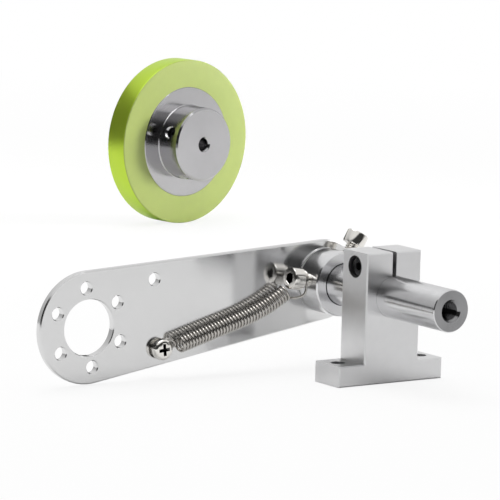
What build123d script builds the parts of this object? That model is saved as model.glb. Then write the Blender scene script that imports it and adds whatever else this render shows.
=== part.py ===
"""Sprung swing-arm bracket for a rotary encoder, with its measuring wheel standing behind it.

Frame: X runs along the base and the arm reaches towards -X.  Y runs along the pivot shaft, whose
tapped free end looks towards -Y.  Z is up.  The origin is the middle of the base's underside.
All lengths are in millimetres and all angles in degrees.
"""
import math
import os

from build123d import *

# Cuts run past the faces that they open by this much.
OVERRUN = 1.0

# Clearances
SLIP_CLEARANCE = 0.03
RUNNING_CLEARANCE = 0.04
THREAD_CLEARANCE = 0.05
RUNNING_GAP = 0.10
EDGE_BREAK = 0.3

# Support block: a base flange with an upright body that grips the shaft
BASE_WIDTH = 48.0
BASE_HEIGHT = 8.0
BLOCK_DEPTH = 16.0
BODY_WIDTH = 25.0
BODY_HEIGHT = 50.0
BLOCK_CHAMFER = 0.5
SLIT_WIDTH = 1.8
BASE_HOLE_INSET = 5.0
BASE_HOLE_DIAMETER = 5.5

# Clamp screw that closes the slit
CLAMP_SCREW_DIAMETER = 4.0
CLAMP_SCREW_LENGTH = 16.0
CLAMP_HEAD_DIAMETER = 7.0
CLAMP_HEAD_HEIGHT = 4.0
CLAMP_SOCKET_FLATS = 3.0
CLAMP_SOCKET_DEPTH = 2.0
CLAMP_COUNTERBORE_DIAMETER = 8.5
CLAMP_COUNTERBORE_DEPTH = 5.5
CLAMP_HOLE_DIAMETER = 4.5
CLAMP_DROP = 5.8
CLAMP_TO_SHAFT_CLEARANCE = 1.2

# Pivot shaft, tapped at both ends, with a thinner journal for the arm
SHAFT_DIAMETER = 16.0
SHAFT_OVERHANG = 36.0
SHAFT_CHAMFER = 0.8
JOURNAL_DIAMETER = 10.0
FREE_TAP_DIAMETER = 6.8
FREE_TAP_DEPTH = 20.0
FREE_TAP_MOUTH_DIAMETER = 8.8
DRILL_POINT_ANGLE = 118.0

# Collar that anchors the fixed end of the spring
COLLAR_STANDOFF = 16.5
COLLAR_DIAMETER = 25.0
COLLAR_LENGTH = 12.0
COLLAR_CHAMFER = 0.5
SPRING_SCREW_ANGLE = 8.0
LOCK_SCREW_ANGLE = 120.0
COLLAR_SCREW_DIAMETER = 5.0
COLLAR_SCREW_STANDOFF = 3.8
COLLAR_HEAD_DIAMETER = 8.5
COLLAR_HEAD_HEIGHT = 5.0
COLLAR_SOCKET_FLATS = 4.0
COLLAR_SOCKET_DEPTH = 2.5

# Thrust washer, flanged bush and rear fastening of the arm
THRUST_WASHER_DIAMETER = 24.0
THRUST_WASHER_THICKNESS = 0.5
BUSH_DIAMETER = 12.0
BUSH_FLANGE_DIAMETER = 18.0
BUSH_FLANGE_THICKNESS = 1.0
REAR_SCREW_DIAMETER = 6.0
REAR_SCREW_LENGTH = 16.0
REAR_TAP_DEPTH = 18.0
REAR_HEAD_FLATS = 10.0
REAR_HEAD_HEIGHT = 4.0
REAR_WASHER_DIAMETER = 18.0
REAR_WASHER_THICKNESS = 1.6
REAR_WASHER_BORE = 6.4
LOCK_WASHER_DIAMETER = 11.8
LOCK_WASHER_BORE = 6.2
LOCK_WASHER_THICKNESS = 1.6
LOCK_WASHER_SPLIT = 0.8

# Swing arm: a flat plate that widens from the pivot to the encoder
ARM_LENGTH = 106.8
ARM_TILT = 6.0
ARM_THICKNESS = 3.0
ARM_ENCODER_RADIUS = 21.3
ARM_PIVOT_RADIUS = 15.5
ARM_CHAMFER = 0.5
ENCODER_BORE_DIAMETER = 21.4
ENCODER_CIRCLE_DIAMETER = 30.0
ENCODER_HOLE_COUNT = 6
ENCODER_HOLE_DIAMETER = 4.8
ANCHOR_REACH = 77.0
ANCHOR_INSET = 6.4
ANCHOR_HOLE_DIAMETER = 4.8

# Anchor screw, washer and nut that hold the moving end of the spring
ANCHOR_SCREW_DIAMETER = 4.0
ANCHOR_HEAD_DIAMETER = 8.0
ANCHOR_HEAD_HEIGHT = 2.9
ANCHOR_HEAD_ROUND = 1.3
ANCHOR_TIP = 0.8
CROSS_LENGTH = 4.6
CROSS_WIDTH = 1.1
CROSS_DEPTH = 1.5
ANCHOR_WASHER_DIAMETER = 9.0
ANCHOR_WASHER_THICKNESS = 0.8
ANCHOR_NUT_FLATS = 7.0
ANCHOR_NUT_HEIGHT = 3.2

# Tension spring: one wire with a loop at each end
WIRE_DIAMETER = 0.8
SPRING_DIAMETER = 6.6
SPRING_PITCH = 1.4
SPRING_STANDOFF = 4.2
SPRING_LEAD = 6.4
SPRING_SAG = 2.7
SPRING_BEND_SHARE = 0.8
SPRING_BEND_RUN_SHARE = 0.95
LOOP_CLEARANCE = 0.15
SCREW_LOOP_GAP = 0.7
COIL_END_INSET = 0.9
COIL_END_DROP = 1.35
LOOP_LEG = 4.0
ANCHOR_LOOP_ANGLES = (-30.0, -90.0, -180.0, -270.0)
SCREW_LOOP_ANGLES = (180.0, 90.0, 0.0, -50.0)
GAP_POINTS_PER_ARC = 6

# Measuring wheel: a tyre moulded on a turned hub, 250 mm round
WHEEL_CIRCUMFERENCE = 250.0
WHEEL_X = 160.0
WHEEL_Y = 389.0
WHEEL_HEADING = 8.8
TYRE_WIDTH = 12.0
TYRE_ROUND = 0.7
HUB_DIAMETER = 54.6
HUB_WIDTH = 12.6
HUB_CHAMFER = 1.0
BOSS_DIAMETER = 35.5
BOSS_LENGTH = 13.0
BOSS_CHAMFER = 0.8
BOSS_FILLET = 0.6
WHEEL_BORE_DIAMETER = 6.0
WHEEL_BORE_CHAMFER = 0.8
SET_SCREW_DIAMETER = 5.0
SET_SCREW_LENGTH = 12.0
SET_SCREW_BACK_OFF = 0.3
SET_SCREW_SOCKET_FLATS = 2.5
SET_SCREW_SOCKET_DEPTH = 2.5
SET_SCREW_MOUTH = 0.8
MOUTH_TAPER = 45.0
SET_SCREW_ANGLES = (159.0, 249.0)

# Places along the shaft, from the free end to the rear screw
block_front = -BLOCK_DEPTH / 2
block_rear = BLOCK_DEPTH / 2
shaft_front = block_front - SHAFT_OVERHANG
collar_front = block_rear + COLLAR_STANDOFF
collar_middle = collar_front + COLLAR_LENGTH / 2
collar_rear = collar_front + COLLAR_LENGTH
thrust_rear = collar_rear + THRUST_WASHER_THICKNESS
arm_front = thrust_rear + RUNNING_GAP
arm_rear = arm_front + ARM_THICKNESS
bush_rear = arm_rear + BUSH_FLANGE_THICKNESS
journal_end = bush_rear + RUNNING_GAP
rear_washer_end = journal_end + REAR_WASHER_THICKNESS
lock_washer_end = rear_washer_end + LOCK_WASHER_THICKNESS

# Radii that several pieces share
shaft_radius = SHAFT_DIAMETER / 2
journal_radius = JOURNAL_DIAMETER / 2
collar_radius = COLLAR_DIAMETER / 2
screw_seat_radius = collar_radius + COLLAR_SCREW_STANDOFF
wire_radius = WIRE_DIAMETER / 2
coil_radius = (SPRING_DIAMETER - WIRE_DIAMETER) / 2
wheel_radius = WHEEL_CIRCUMFERENCE / (2 * math.pi)
hook_gap = WIRE_DIAMETER + 2 * LOOP_CLEARANCE

# Heights in the block: the clamp screw hangs from its top, and the shaft lies below the screw
clamp_height = BODY_HEIGHT - CLAMP_DROP
clamp_underside = clamp_height - CLAMP_SCREW_DIAMETER / 2
shaft_height = clamp_underside - CLAMP_TO_SHAFT_CLEARANCE - shaft_radius
base_hole_reach = BASE_WIDTH / 2 - BASE_HOLE_INSET

# Taper of the arm, and how far its spring holes lie from its middle line
arm_rise = (ARM_ENCODER_RADIUS - ARM_PIVOT_RADIUS) / ARM_LENGTH
arm_across = math.sqrt(1 - arm_rise * arm_rise)
anchor_edge = (ARM_PIVOT_RADIUS + arm_rise * ANCHOR_REACH) / arm_across
anchor_offset = anchor_edge - ANCHOR_INSET


def unit_turn(angle):
    """Return the cosine and sine of an angle in degrees."""
    return math.cos(math.radians(angle)), math.sin(math.radians(angle))


def shaft_plane(place):
    """Plane across the shaft at a place along it, looking towards the rear."""
    return Plane(origin=(0, place, shaft_height), x_dir=(1, 0, 0), z_dir=(0, 1, 0))


def arm_plane(place):
    """Plane of the arm: local X runs to the encoder, local Y up the arm, local Z to the rear."""
    along, down = unit_turn(ARM_TILT)
    return Plane(origin=(0, place, shaft_height), x_dir=(-along, 0, -down), z_dir=(0, 1, 0))


def collar_ray(angle):
    """Direction away from the shaft, counted from the -X side upwards."""
    along, up = unit_turn(angle)
    return Vector(-along, 0, up)


def collar_screw_plane(angle, radius):
    """Plane across a radial collar screw, at a distance from the shaft's axis, looking outwards."""
    centre = Vector(0, collar_middle, shaft_height) + collar_ray(angle) * radius
    return Plane(origin=centre, x_dir=(0, 1, 0), z_dir=collar_ray(angle))


def wheel_plane(place):
    """Plane across the wheel's axle: local X to the right, local Y up, local Z out of the boss."""
    along, aside = unit_turn(WHEEL_HEADING)
    axle = Vector(aside, -along, 0)
    centre = Vector(WHEEL_X, WHEEL_Y, wheel_radius) + axle * place
    return Plane(origin=centre, x_dir=(along, aside, 0), z_dir=axle)


def rod(plane, radius, length):
    """Plain round bar that grows along a plane's normal."""
    return extrude(plane * Circle(radius), amount=length)


def ring(plane, outer_radius, inner_radius, length):
    """Plain round sleeve that grows along a plane's normal."""
    return extrude(plane * (Circle(outer_radius) - Circle(inner_radius)), amount=length)


def hexagon(flats):
    """Hexagon given by the distance across its flats."""
    return RegularPolygon(flats / 2, 6, major_radius=False)


def hexagon_recess(plane, flats, depth):
    """Cutter for a hexagon socket that sinks against a plane's normal."""
    cutter = extrude(plane * hexagon(flats), amount=-depth)
    return cutter + extrude(plane * hexagon(flats), amount=OVERRUN)


def cap_screw(seat, diameter, length, head_diameter, head_height, flats, depth):
    """Socket cap screw: its head grows along the seat's normal and its shank goes the other way."""
    head = rod(seat, head_diameter / 2, head_height)
    head = chamfer(head.edges().group_by(SortBy.LENGTH)[-1], EDGE_BREAK)
    shank = rod(seat, diameter / 2, -length)
    top = seat.offset(head_height)
    return head + shank - hexagon_recess(top, flats, depth)


def support_block():
    """Upside-down T of one depth, with the shaft's bore, the slit and the screw holes."""
    base = Pos(0, 0, BASE_HEIGHT / 2) * Box(BASE_WIDTH, BLOCK_DEPTH, BASE_HEIGHT)
    body = Pos(0, 0, BODY_HEIGHT / 2) * Box(BODY_WIDTH, BLOCK_DEPTH, BODY_HEIGHT)
    block = base + body
    faces = block.faces().sort_by(Axis.Y)
    block = chamfer(faces[0].edges() + faces[-1].edges(), BLOCK_CHAMFER)
    bore_plane = shaft_plane(block_front - OVERRUN)
    block -= rod(bore_plane, shaft_radius + SLIP_CLEARANCE, BLOCK_DEPTH + 2 * OVERRUN)
    slit_height = BODY_HEIGHT - shaft_height + OVERRUN
    slit_middle = shaft_height + slit_height / 2
    block -= Pos(0, 0, slit_middle) * Box(SLIT_WIDTH, BLOCK_DEPTH + 2 * OVERRUN, slit_height)
    floor_plane = Plane.XY.offset(-OVERRUN)
    for side in (-1, 1):
        hole = floor_plane * Pos(side * base_hole_reach, 0)
        block -= extrude(hole * Circle(BASE_HOLE_DIAMETER / 2), amount=BASE_HEIGHT + 2 * OVERRUN)
    return block - clamp_holes()


def clamp_plane(place):
    """Plane across the clamp screw at a place along X, looking out of the -X side."""
    return Plane(origin=(place, 0, clamp_height), x_dir=(0, 1, 0), z_dir=(-1, 0, 0))


def clamp_seat():
    """Place along X where the clamp screw's head bears on the floor of its counterbore."""
    return -BODY_WIDTH / 2 + CLAMP_COUNTERBORE_DEPTH


def clamp_holes():
    """Cutters for the clamp screw: counterbore, clearance hole to the slit, tapped hole beyond."""
    seat = clamp_plane(clamp_seat())
    counterbore = rod(seat, CLAMP_COUNTERBORE_DIAMETER / 2, CLAMP_COUNTERBORE_DEPTH + OVERRUN)
    clearance = rod(seat, CLAMP_HOLE_DIAMETER / 2, clamp_seat())
    tap_length = BODY_WIDTH / 2 - clamp_seat() + OVERRUN
    tapped = rod(seat, CLAMP_SCREW_DIAMETER / 2 + THREAD_CLEARANCE, -tap_length)
    return counterbore + clearance + tapped


def clamp_screw():
    """Socket cap screw that pulls the two sides of the slit together."""
    return cap_screw(
        clamp_plane(clamp_seat()),
        CLAMP_SCREW_DIAMETER,
        CLAMP_SCREW_LENGTH,
        CLAMP_HEAD_DIAMETER,
        CLAMP_HEAD_HEIGHT,
        CLAMP_SOCKET_FLATS,
        CLAMP_SOCKET_DEPTH,
    )


def tapped_hole_profile(radius, depth, mouth_radius):
    """Half section of a drilled hole with a drill point and a countersunk mouth, mouth at zero."""
    point = radius / math.tan(math.radians(DRILL_POINT_ANGLE / 2))
    mouth = mouth_radius - radius
    outline = Polyline(
        (0, -OVERRUN),
        (mouth_radius + OVERRUN, -OVERRUN),
        (radius, mouth),
        (radius, depth),
        (0, depth + point),
        close=True,
    )
    return make_face(outline)


def tapped_hole(mouth_plane, radius, depth, mouth_radius):
    """Cutter for a tapped hole that goes in along the plane's normal."""
    section = Plane(origin=mouth_plane.origin, x_dir=mouth_plane.x_dir, z_dir=-mouth_plane.y_dir)
    profile = section * tapped_hole_profile(radius, depth, mouth_radius)
    return revolve(profile, Axis(mouth_plane.origin, mouth_plane.z_dir))


def pivot_shaft():
    """Round bar through the block with a thinner journal at the rear and a tapped hole in each end."""
    bar = rod(shaft_plane(shaft_front), shaft_radius, collar_rear - shaft_front)
    bar = chamfer(bar.edges().sort_by(Axis.Y)[0], SHAFT_CHAMFER)
    journal = rod(shaft_plane(collar_rear), journal_radius, journal_end - collar_rear)
    front = shaft_plane(shaft_front)
    free_tap = tapped_hole(
        front, FREE_TAP_DIAMETER / 2, FREE_TAP_DEPTH, FREE_TAP_MOUTH_DIAMETER / 2
    )
    rear = shaft_plane(journal_end)
    rear_tap = rod(rear, REAR_SCREW_DIAMETER / 2 + THREAD_CLEARANCE, -REAR_TAP_DEPTH)
    return bar + journal - free_tap - rear_tap


def spring_collar():
    """Ring on the shaft with two radial tapped holes."""
    plane = shaft_plane(collar_front)
    collar = ring(plane, collar_radius, shaft_radius + SLIP_CLEARANCE, COLLAR_LENGTH)
    rims = collar.edges().filter_by(GeomType.CIRCLE).group_by(SortBy.RADIUS)[-1]
    collar = chamfer(rims, COLLAR_CHAMFER)
    for angle in (SPRING_SCREW_ANGLE, LOCK_SCREW_ANGLE):
        hole = collar_screw_plane(angle, 0)
        length = collar_radius + OVERRUN
        collar -= rod(hole, COLLAR_SCREW_DIAMETER / 2 + THREAD_CLEARANCE, length)
    return collar


def collar_screws():
    """Two like cap screws: one carries the spring's loop, both grip the shaft."""
    length = screw_seat_radius - shaft_radius - THREAD_CLEARANCE
    screws = []
    for angle in (SPRING_SCREW_ANGLE, LOCK_SCREW_ANGLE):
        screw = cap_screw(
            collar_screw_plane(angle, screw_seat_radius),
            COLLAR_SCREW_DIAMETER,
            length,
            COLLAR_HEAD_DIAMETER,
            COLLAR_HEAD_HEIGHT,
            COLLAR_SOCKET_FLATS,
            COLLAR_SOCKET_DEPTH,
        )
        screws.append(screw)
    return Compound(children=screws)


def thrust_washer():
    """Thin low-friction washer between the collar and the arm."""
    plane = shaft_plane(collar_rear)
    bore_radius = journal_radius + RUNNING_GAP
    return ring(plane, THRUST_WASHER_DIAMETER / 2, bore_radius, THRUST_WASHER_THICKNESS)


def arm_outline():
    """Two round ends joined by their common tangents."""
    pivot_x = -arm_rise * ARM_PIVOT_RADIUS
    pivot_y = arm_across * ARM_PIVOT_RADIUS
    encoder_x = ARM_LENGTH - arm_rise * ARM_ENCODER_RADIUS
    encoder_y = arm_across * ARM_ENCODER_RADIUS
    top = Line((pivot_x, pivot_y), (encoder_x, encoder_y))
    nose = ThreePointArc(
        (encoder_x, encoder_y), (ARM_LENGTH + ARM_ENCODER_RADIUS, 0), (encoder_x, -encoder_y)
    )
    bottom = Line((encoder_x, -encoder_y), (pivot_x, -pivot_y))
    heel = ThreePointArc((pivot_x, -pivot_y), (-ARM_PIVOT_RADIUS, 0), (pivot_x, pivot_y))
    return make_face([top, nose, bottom, heel])


def arm_holes():
    """Encoder bore with its bolt circle, and a spring hole at either edge of the arm."""
    encoder = Pos(ARM_LENGTH, 0)
    holes = encoder * Circle(ENCODER_BORE_DIAMETER / 2)
    step = 360 / ENCODER_HOLE_COUNT
    for index in range(ENCODER_HOLE_COUNT):
        along, up = unit_turn(90 + index * step)
        radius = ENCODER_CIRCLE_DIAMETER / 2
        holes += encoder * Pos(radius * along, radius * up) * Circle(ENCODER_HOLE_DIAMETER / 2)
    for side in (-1, 1):
        holes += Pos(ANCHOR_REACH, side * anchor_offset) * Circle(ANCHOR_HOLE_DIAMETER / 2)
    return holes


def swing_arm():
    """Tapered plate with broken edges all round and at every hole of its front face."""
    plane = arm_plane(arm_front)
    plate = extrude(plane * arm_outline(), amount=ARM_THICKNESS)
    faces = plate.faces().sort_by(Axis.Y)
    plate = chamfer(faces[0].edges() + faces[-1].edges(), ARM_CHAMFER)
    plate -= extrude(plane * arm_holes(), amount=ARM_THICKNESS)
    front = plate.faces().sort_by(Axis.Y)[0]
    rims = front.inner_wires().edges()
    plate = chamfer(rims, EDGE_BREAK)
    pivot_hole = rod(plane, BUSH_DIAMETER / 2 + SLIP_CLEARANCE, ARM_THICKNESS)
    return plate - pivot_hole


def arm_bush():
    """Plain bearing in the arm's pivot hole, with its flange on the arm's rear face."""
    bore_radius = journal_radius + RUNNING_CLEARANCE
    sleeve = ring(shaft_plane(arm_front), BUSH_DIAMETER / 2, bore_radius, bush_rear - arm_front)
    flange = ring(
        shaft_plane(arm_rear), BUSH_FLANGE_DIAMETER / 2, bore_radius, BUSH_FLANGE_THICKNESS
    )
    return sleeve + flange


def rear_washer():
    """Plain washer that keeps the arm on its journal."""
    plane = shaft_plane(journal_end)
    return ring(plane, REAR_WASHER_DIAMETER / 2, REAR_WASHER_BORE / 2, REAR_WASHER_THICKNESS)


def rear_lock_washer():
    """Split spring washer under the rear screw's head."""
    plane = shaft_plane(rear_washer_end)
    washer = ring(plane, LOCK_WASHER_DIAMETER / 2, LOCK_WASHER_BORE / 2, LOCK_WASHER_THICKNESS)
    split = Rectangle(LOCK_WASHER_SPLIT, LOCK_WASHER_DIAMETER, align=(Align.CENTER, Align.MIN))
    return washer - extrude(plane * split, amount=LOCK_WASHER_THICKNESS)


def hexagon_block(plane, flats, height):
    """Hexagon head or nut with the round chamfer of its outer face."""
    block = extrude(plane * hexagon(flats), amount=height)
    corner_radius = flats / math.sqrt(3)
    dome = rod(plane, corner_radius, height)
    drop = corner_radius - flats / 2
    dome = chamfer(dome.edges().sort_by(Axis.Y)[-1], drop / 2, drop)
    return block & dome


def rear_screw():
    """Hexagon screw that draws the rear washer against the end of the journal."""
    plane = shaft_plane(lock_washer_end)
    head = hexagon_block(plane, REAR_HEAD_FLATS, REAR_HEAD_HEIGHT)
    return head + rod(plane, REAR_SCREW_DIAMETER / 2, -REAR_SCREW_LENGTH)


def anchor_plane(place):
    """Plane of the arm with its middle on the anchor screw at the arm's lower edge."""
    return arm_plane(place) * Pos(ANCHOR_REACH, -anchor_offset)


def anchor_screw():
    """Cross-recessed pan-head screw through the arm, with room for the spring's loop."""
    seat = arm_front - hook_gap
    tip = arm_rear + ANCHOR_WASHER_THICKNESS + ANCHOR_NUT_HEIGHT + ANCHOR_TIP
    head_face = Plane(anchor_plane(seat - ANCHOR_HEAD_HEIGHT))
    head = rod(head_face, ANCHOR_HEAD_DIAMETER / 2, ANCHOR_HEAD_HEIGHT)
    head = fillet(head.edges().sort_by(Axis.Y)[0], ANCHOR_HEAD_ROUND)
    shank = rod(Plane(anchor_plane(seat)), ANCHOR_SCREW_DIAMETER / 2, tip - seat)
    slots = Rectangle(CROSS_LENGTH, CROSS_WIDTH) + Rectangle(CROSS_WIDTH, CROSS_LENGTH)
    return head + shank - extrude(head_face * slots, amount=CROSS_DEPTH)


def anchor_washer():
    """Plain washer between the arm's rear face and the anchor nut."""
    return ring(
        Plane(anchor_plane(arm_rear)),
        ANCHOR_WASHER_DIAMETER / 2,
        ANCHOR_SCREW_DIAMETER / 2 + THREAD_CLEARANCE,
        ANCHOR_WASHER_THICKNESS,
    )


def anchor_nut():
    """Hexagon nut on the anchor screw's tail."""
    plane = Plane(anchor_plane(arm_rear + ANCHOR_WASHER_THICKNESS))
    nut = hexagon_block(plane, ANCHOR_NUT_FLATS, ANCHOR_NUT_HEIGHT)
    return nut - rod(plane, ANCHOR_SCREW_DIAMETER / 2 + THREAD_CLEARANCE, ANCHOR_NUT_HEIGHT)


class SpringAxis:
    """Middle line of the coil: a straight run from the anchor, then one wide bend to the collar."""

    def __init__(self):
        anchor = Plane(anchor_plane(arm_front - SPRING_STANDOFF)).origin
        ray = collar_ray(SPRING_SCREW_ANGLE)
        below = Vector(-ray.Z, 0, ray.X)
        drop = COLLAR_HEAD_DIAMETER / 2 + COIL_END_DROP
        reach = screw_seat_radius + COLLAR_HEAD_HEIGHT - COIL_END_INSET
        end = Vector(0, anchor.Y, shaft_height) + ray * reach + below * drop
        chord = end - anchor
        sag = Vector(chord.Z, 0, -chord.X).normalized() * SPRING_SAG
        corner = anchor + chord * SPRING_BEND_SHARE + sag
        self.aside = Vector(0, 1, 0)
        self.first = (corner - anchor).normalized()
        self.last = (end - corner).normalized()
        self.turn = math.radians(self.first.get_angle(self.last))
        cut = (end - corner).length * SPRING_BEND_RUN_SHARE
        self.radius = cut / math.tan(self.turn / 2)
        self.start = anchor + self.first * SPRING_LEAD
        self.straight = (corner - self.start).length - cut
        self.bend = self.radius * self.turn
        self.tail = (end - corner).length - cut
        self.length = self.straight + self.bend + self.tail

    def at(self, place):
        """Point, direction, upward normal and curvature at a distance from the first coil."""
        arc_place = min(max(place - self.straight, 0), self.bend)
        turned = arc_place / self.radius
        side = Vector(-self.first.Z, 0, self.first.X)
        along = self.first * math.cos(turned) + side * math.sin(turned)
        point = self.start + self.first * min(place, self.straight)
        point += self.first * (self.radius * math.sin(turned))
        point += side * (self.radius * (1 - math.cos(turned)))
        point += along * max(place - self.straight - self.bend, 0)
        bent = self.straight < place < self.straight + self.bend
        up = Vector(-along.Z, 0, along.X)
        return point, along, up, 1 / self.radius if bent else 0


def coil_knots(axis):
    """Points and directions of the wire at every half turn of the coil."""
    turns = math.floor(axis.length / SPRING_PITCH) + 0.25
    pitch = axis.length / turns
    knots = []
    for index in range(int(2 * turns) + 1):
        knots.append(coil_knot(axis, pitch, 90 + 180 * index))
    knots.append(coil_knot(axis, pitch, 90 + 360 * turns))
    return knots


def coil_knot(axis, pitch, angle):
    """Point and direction of the wire at an angle, where the coil starts at a right angle."""
    point, along, up, curve = axis.at(pitch * (angle - 90) / 360)
    across, high = unit_turn(angle)
    spot = point + up * (coil_radius * across) + axis.aside * (coil_radius * high)
    advance = pitch / (2 * math.pi) * (1 - curve * coil_radius * across)
    heading = along * advance + (axis.aside * across - up * high) * coil_radius
    return spot, heading.normalized()


def loop_knots(centre, right, up, radius, angles):
    """Points and directions round a loop, walked clockwise through the given angles."""
    knots = []
    for angle in angles:
        across, high = unit_turn(angle)
        spot = centre + right * (radius * across) + up * (radius * high)
        knots.append((spot, right * high - up * across))
    return knots


def wire_knots():
    """Points and directions of the whole wire, from the arm's loop to the collar screw's loop."""
    axis = SpringAxis()
    anchor = Plane(anchor_plane(arm_front - hook_gap / 2)).origin
    rise = Vector(-axis.first.Z, 0, axis.first.X)
    anchor_radius = ANCHOR_SCREW_DIAMETER / 2 + wire_radius + LOOP_CLEARANCE
    knots = loop_knots(anchor, axis.first, rise, anchor_radius, ANCHOR_LOOP_ANGLES)
    knots += coil_knots(axis)
    ray = collar_ray(SPRING_SCREW_ANGLE)
    screw = collar_screw_plane(SPRING_SCREW_ANGLE, screw_seat_radius - wire_radius - SCREW_LOOP_GAP)
    upright = Vector(ray.Z, 0, -ray.X)
    screw_radius = COLLAR_SCREW_DIAMETER / 2 + wire_radius + LOOP_CLEARANCE
    loop = loop_knots(screw.origin, axis.aside, upright, screw_radius, SCREW_LOOP_ANGLES)
    knots.append((loop[0][0] - upright * LOOP_LEG, upright))
    return knots + loop


def biarc(start, start_way, end, end_way):
    """Two arcs that leave one knot and reach the next along their directions."""
    span = end - start
    ways = start_way + end_way
    bend = 2 * (1 - start_way.dot(end_way))
    lean = span.dot(ways)
    if bend < 1e-9:
        reach = span.dot(span) / (2 * lean)
    else:
        reach = (math.sqrt(lean * lean + bend * span.dot(span)) - lean) / bend
    middle = (start + start_way * reach + end - end_way * reach) * 0.5
    middle_way = (end - end_way * reach - start - start_way * reach).normalized()
    return [(start, start_way, middle), (middle, middle_way, end)]


def tangent_edge(start, way, end):
    """Arc from a point along a direction to another point, or a line where they are in line."""
    if way.cross((end - start).normalized()).length < 1e-6:
        return Edge.make_line(start, end)
    return Edge.make_tangent_arc(start, way, end)


def wire_path():
    """Edges of the spring's middle line, with a short straight run at either end."""
    knots = wire_knots()
    first, first_way = knots[0]
    last, last_way = knots[-1]
    edges = [Edge.make_line(first - first_way * WIRE_DIAMETER, first)]
    for (start, start_way), (end, end_way) in zip(knots, knots[1:]):
        for arc in biarc(start, start_way, end, end_way):
            edges.append(tangent_edge(*arc))
    edges.append(Edge.make_line(last, last + last_way * WIRE_DIAMETER))
    return edges


def least_gap(edges):
    """Least gap between two stretches of the wire that lie more than half a turn apart."""
    points = []
    places = []
    run = 0
    for edge in edges:
        for index in range(GAP_POINTS_PER_ARC):
            share = index / GAP_POINTS_PER_ARC
            points.append(edge.position_at(share))
            places.append(run + edge.length * share)
        run += edge.length
    half_turn = math.pi * coil_radius
    reach = 4 * half_turn
    least = math.inf
    for index, point in enumerate(points):
        for other in range(index + 1, len(points)):
            apart = places[other] - places[index]
            if apart > reach:
                break
            if apart > half_turn:
                least = min(least, (points[other] - point).length)
    return least - WIRE_DIAMETER


def tension_spring():
    """Round wire swept along the loops and the coil."""
    edges = wire_path()
    bends = [edge.radius for edge in edges if edge.geom_type == GeomType.CIRCLE]
    print(f"spring: {len(edges)} stretches, least gap {least_gap(edges):.3f}")
    print(f"spring: tightest bend {min(bends):.3f}")
    path = Wire(edges)
    start = Plane(origin=path @ 0, z_dir=path % 0)
    return sweep(start * Circle(wire_radius), path=path)


def hub_profile():
    """Half section of the hub: disc, boss and chamfered bore, with the boss at the front."""
    rear = -HUB_WIDTH / 2
    step = HUB_WIDTH / 2
    front = step + BOSS_LENGTH
    bore = WHEEL_BORE_DIAMETER / 2
    boss = BOSS_DIAMETER / 2
    rim = HUB_DIAMETER / 2
    outline = Polyline(
        (bore, rear + WHEEL_BORE_CHAMFER),
        (bore + WHEEL_BORE_CHAMFER, rear),
        (rim - HUB_CHAMFER, rear),
        (rim, rear + HUB_CHAMFER),
        (rim, step - HUB_CHAMFER),
        (rim - HUB_CHAMFER, step),
        (boss, step),
        (boss, front - BOSS_CHAMFER),
        (boss - BOSS_CHAMFER, front),
        (bore + WHEEL_BORE_CHAMFER, front),
        (bore, front - WHEEL_BORE_CHAMFER),
        close=True,
    )
    section = make_face(outline)
    corner = section.vertices().sort_by_distance((boss, step))[0]
    return fillet(corner, BOSS_FILLET)


def set_screw_plane(angle, radius):
    """Plane across a radial set screw in the boss, looking outwards."""
    middle = wheel_plane(HUB_WIDTH / 2 + BOSS_LENGTH / 2)
    along, up = unit_turn(angle)
    way = middle.x_dir * along + middle.y_dir * up
    return Plane(origin=middle.origin + way * radius, x_dir=middle.z_dir, z_dir=way)


def wheel_hub():
    """Turned disc and boss with a through bore and two radial tapped holes with countersunk mouths."""
    plane = wheel_plane(0)
    section = Plane(origin=plane.origin, x_dir=plane.x_dir, z_dir=-plane.y_dir)
    hub = revolve(section * hub_profile(), Axis(plane.origin, plane.z_dir))
    for angle in SET_SCREW_ANGLES:
        hole_radius = SET_SCREW_DIAMETER / 2 + THREAD_CLEARANCE
        hub -= rod(set_screw_plane(angle, 0), hole_radius, BOSS_DIAMETER / 2 + OVERRUN)
        mouth = set_screw_plane(angle, BOSS_DIAMETER / 2) * Circle(hole_radius + SET_SCREW_MOUTH)
        hub -= extrude(mouth, amount=-SET_SCREW_MOUTH, taper=MOUTH_TAPER)
    return hub


def wheel_tyre():
    """Moulded tyre with rounded edges, seated on the hub's rim."""
    inner = HUB_DIAMETER / 2 + SLIP_CLEARANCE
    tyre = ring(wheel_plane(-TYRE_WIDTH / 2), wheel_radius, inner, TYRE_WIDTH)
    rims = tyre.edges().filter_by(GeomType.CIRCLE).group_by(SortBy.RADIUS)[-1]
    return fillet(rims, TYRE_ROUND)


def wheel_set_screws():
    """Two socket set screws, backed off from the bore."""
    tip = WHEEL_BORE_DIAMETER / 2 + SET_SCREW_BACK_OFF
    screws = []
    for angle in SET_SCREW_ANGLES:
        screw = rod(set_screw_plane(angle, tip), SET_SCREW_DIAMETER / 2, SET_SCREW_LENGTH)
        top = set_screw_plane(angle, tip + SET_SCREW_LENGTH)
        screws.append(screw - hexagon_recess(top, SET_SCREW_SOCKET_FLATS, SET_SCREW_SOCKET_DEPTH))
    return Compound(children=screws)


PIECES = (
    support_block,
    clamp_screw,
    pivot_shaft,
    spring_collar,
    collar_screws,
    thrust_washer,
    swing_arm,
    arm_bush,
    rear_washer,
    rear_lock_washer,
    rear_screw,
    anchor_screw,
    anchor_washer,
    anchor_nut,
    tension_spring,
    wheel_hub,
    wheel_tyre,
    wheel_set_screws,
)


def main():
    """Write one STEP file for each piece."""
    os.makedirs("parts", exist_ok=True)
    for piece in PIECES:
        export_step(piece(), f"parts/{piece.__name__}.step")


main()
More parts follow.
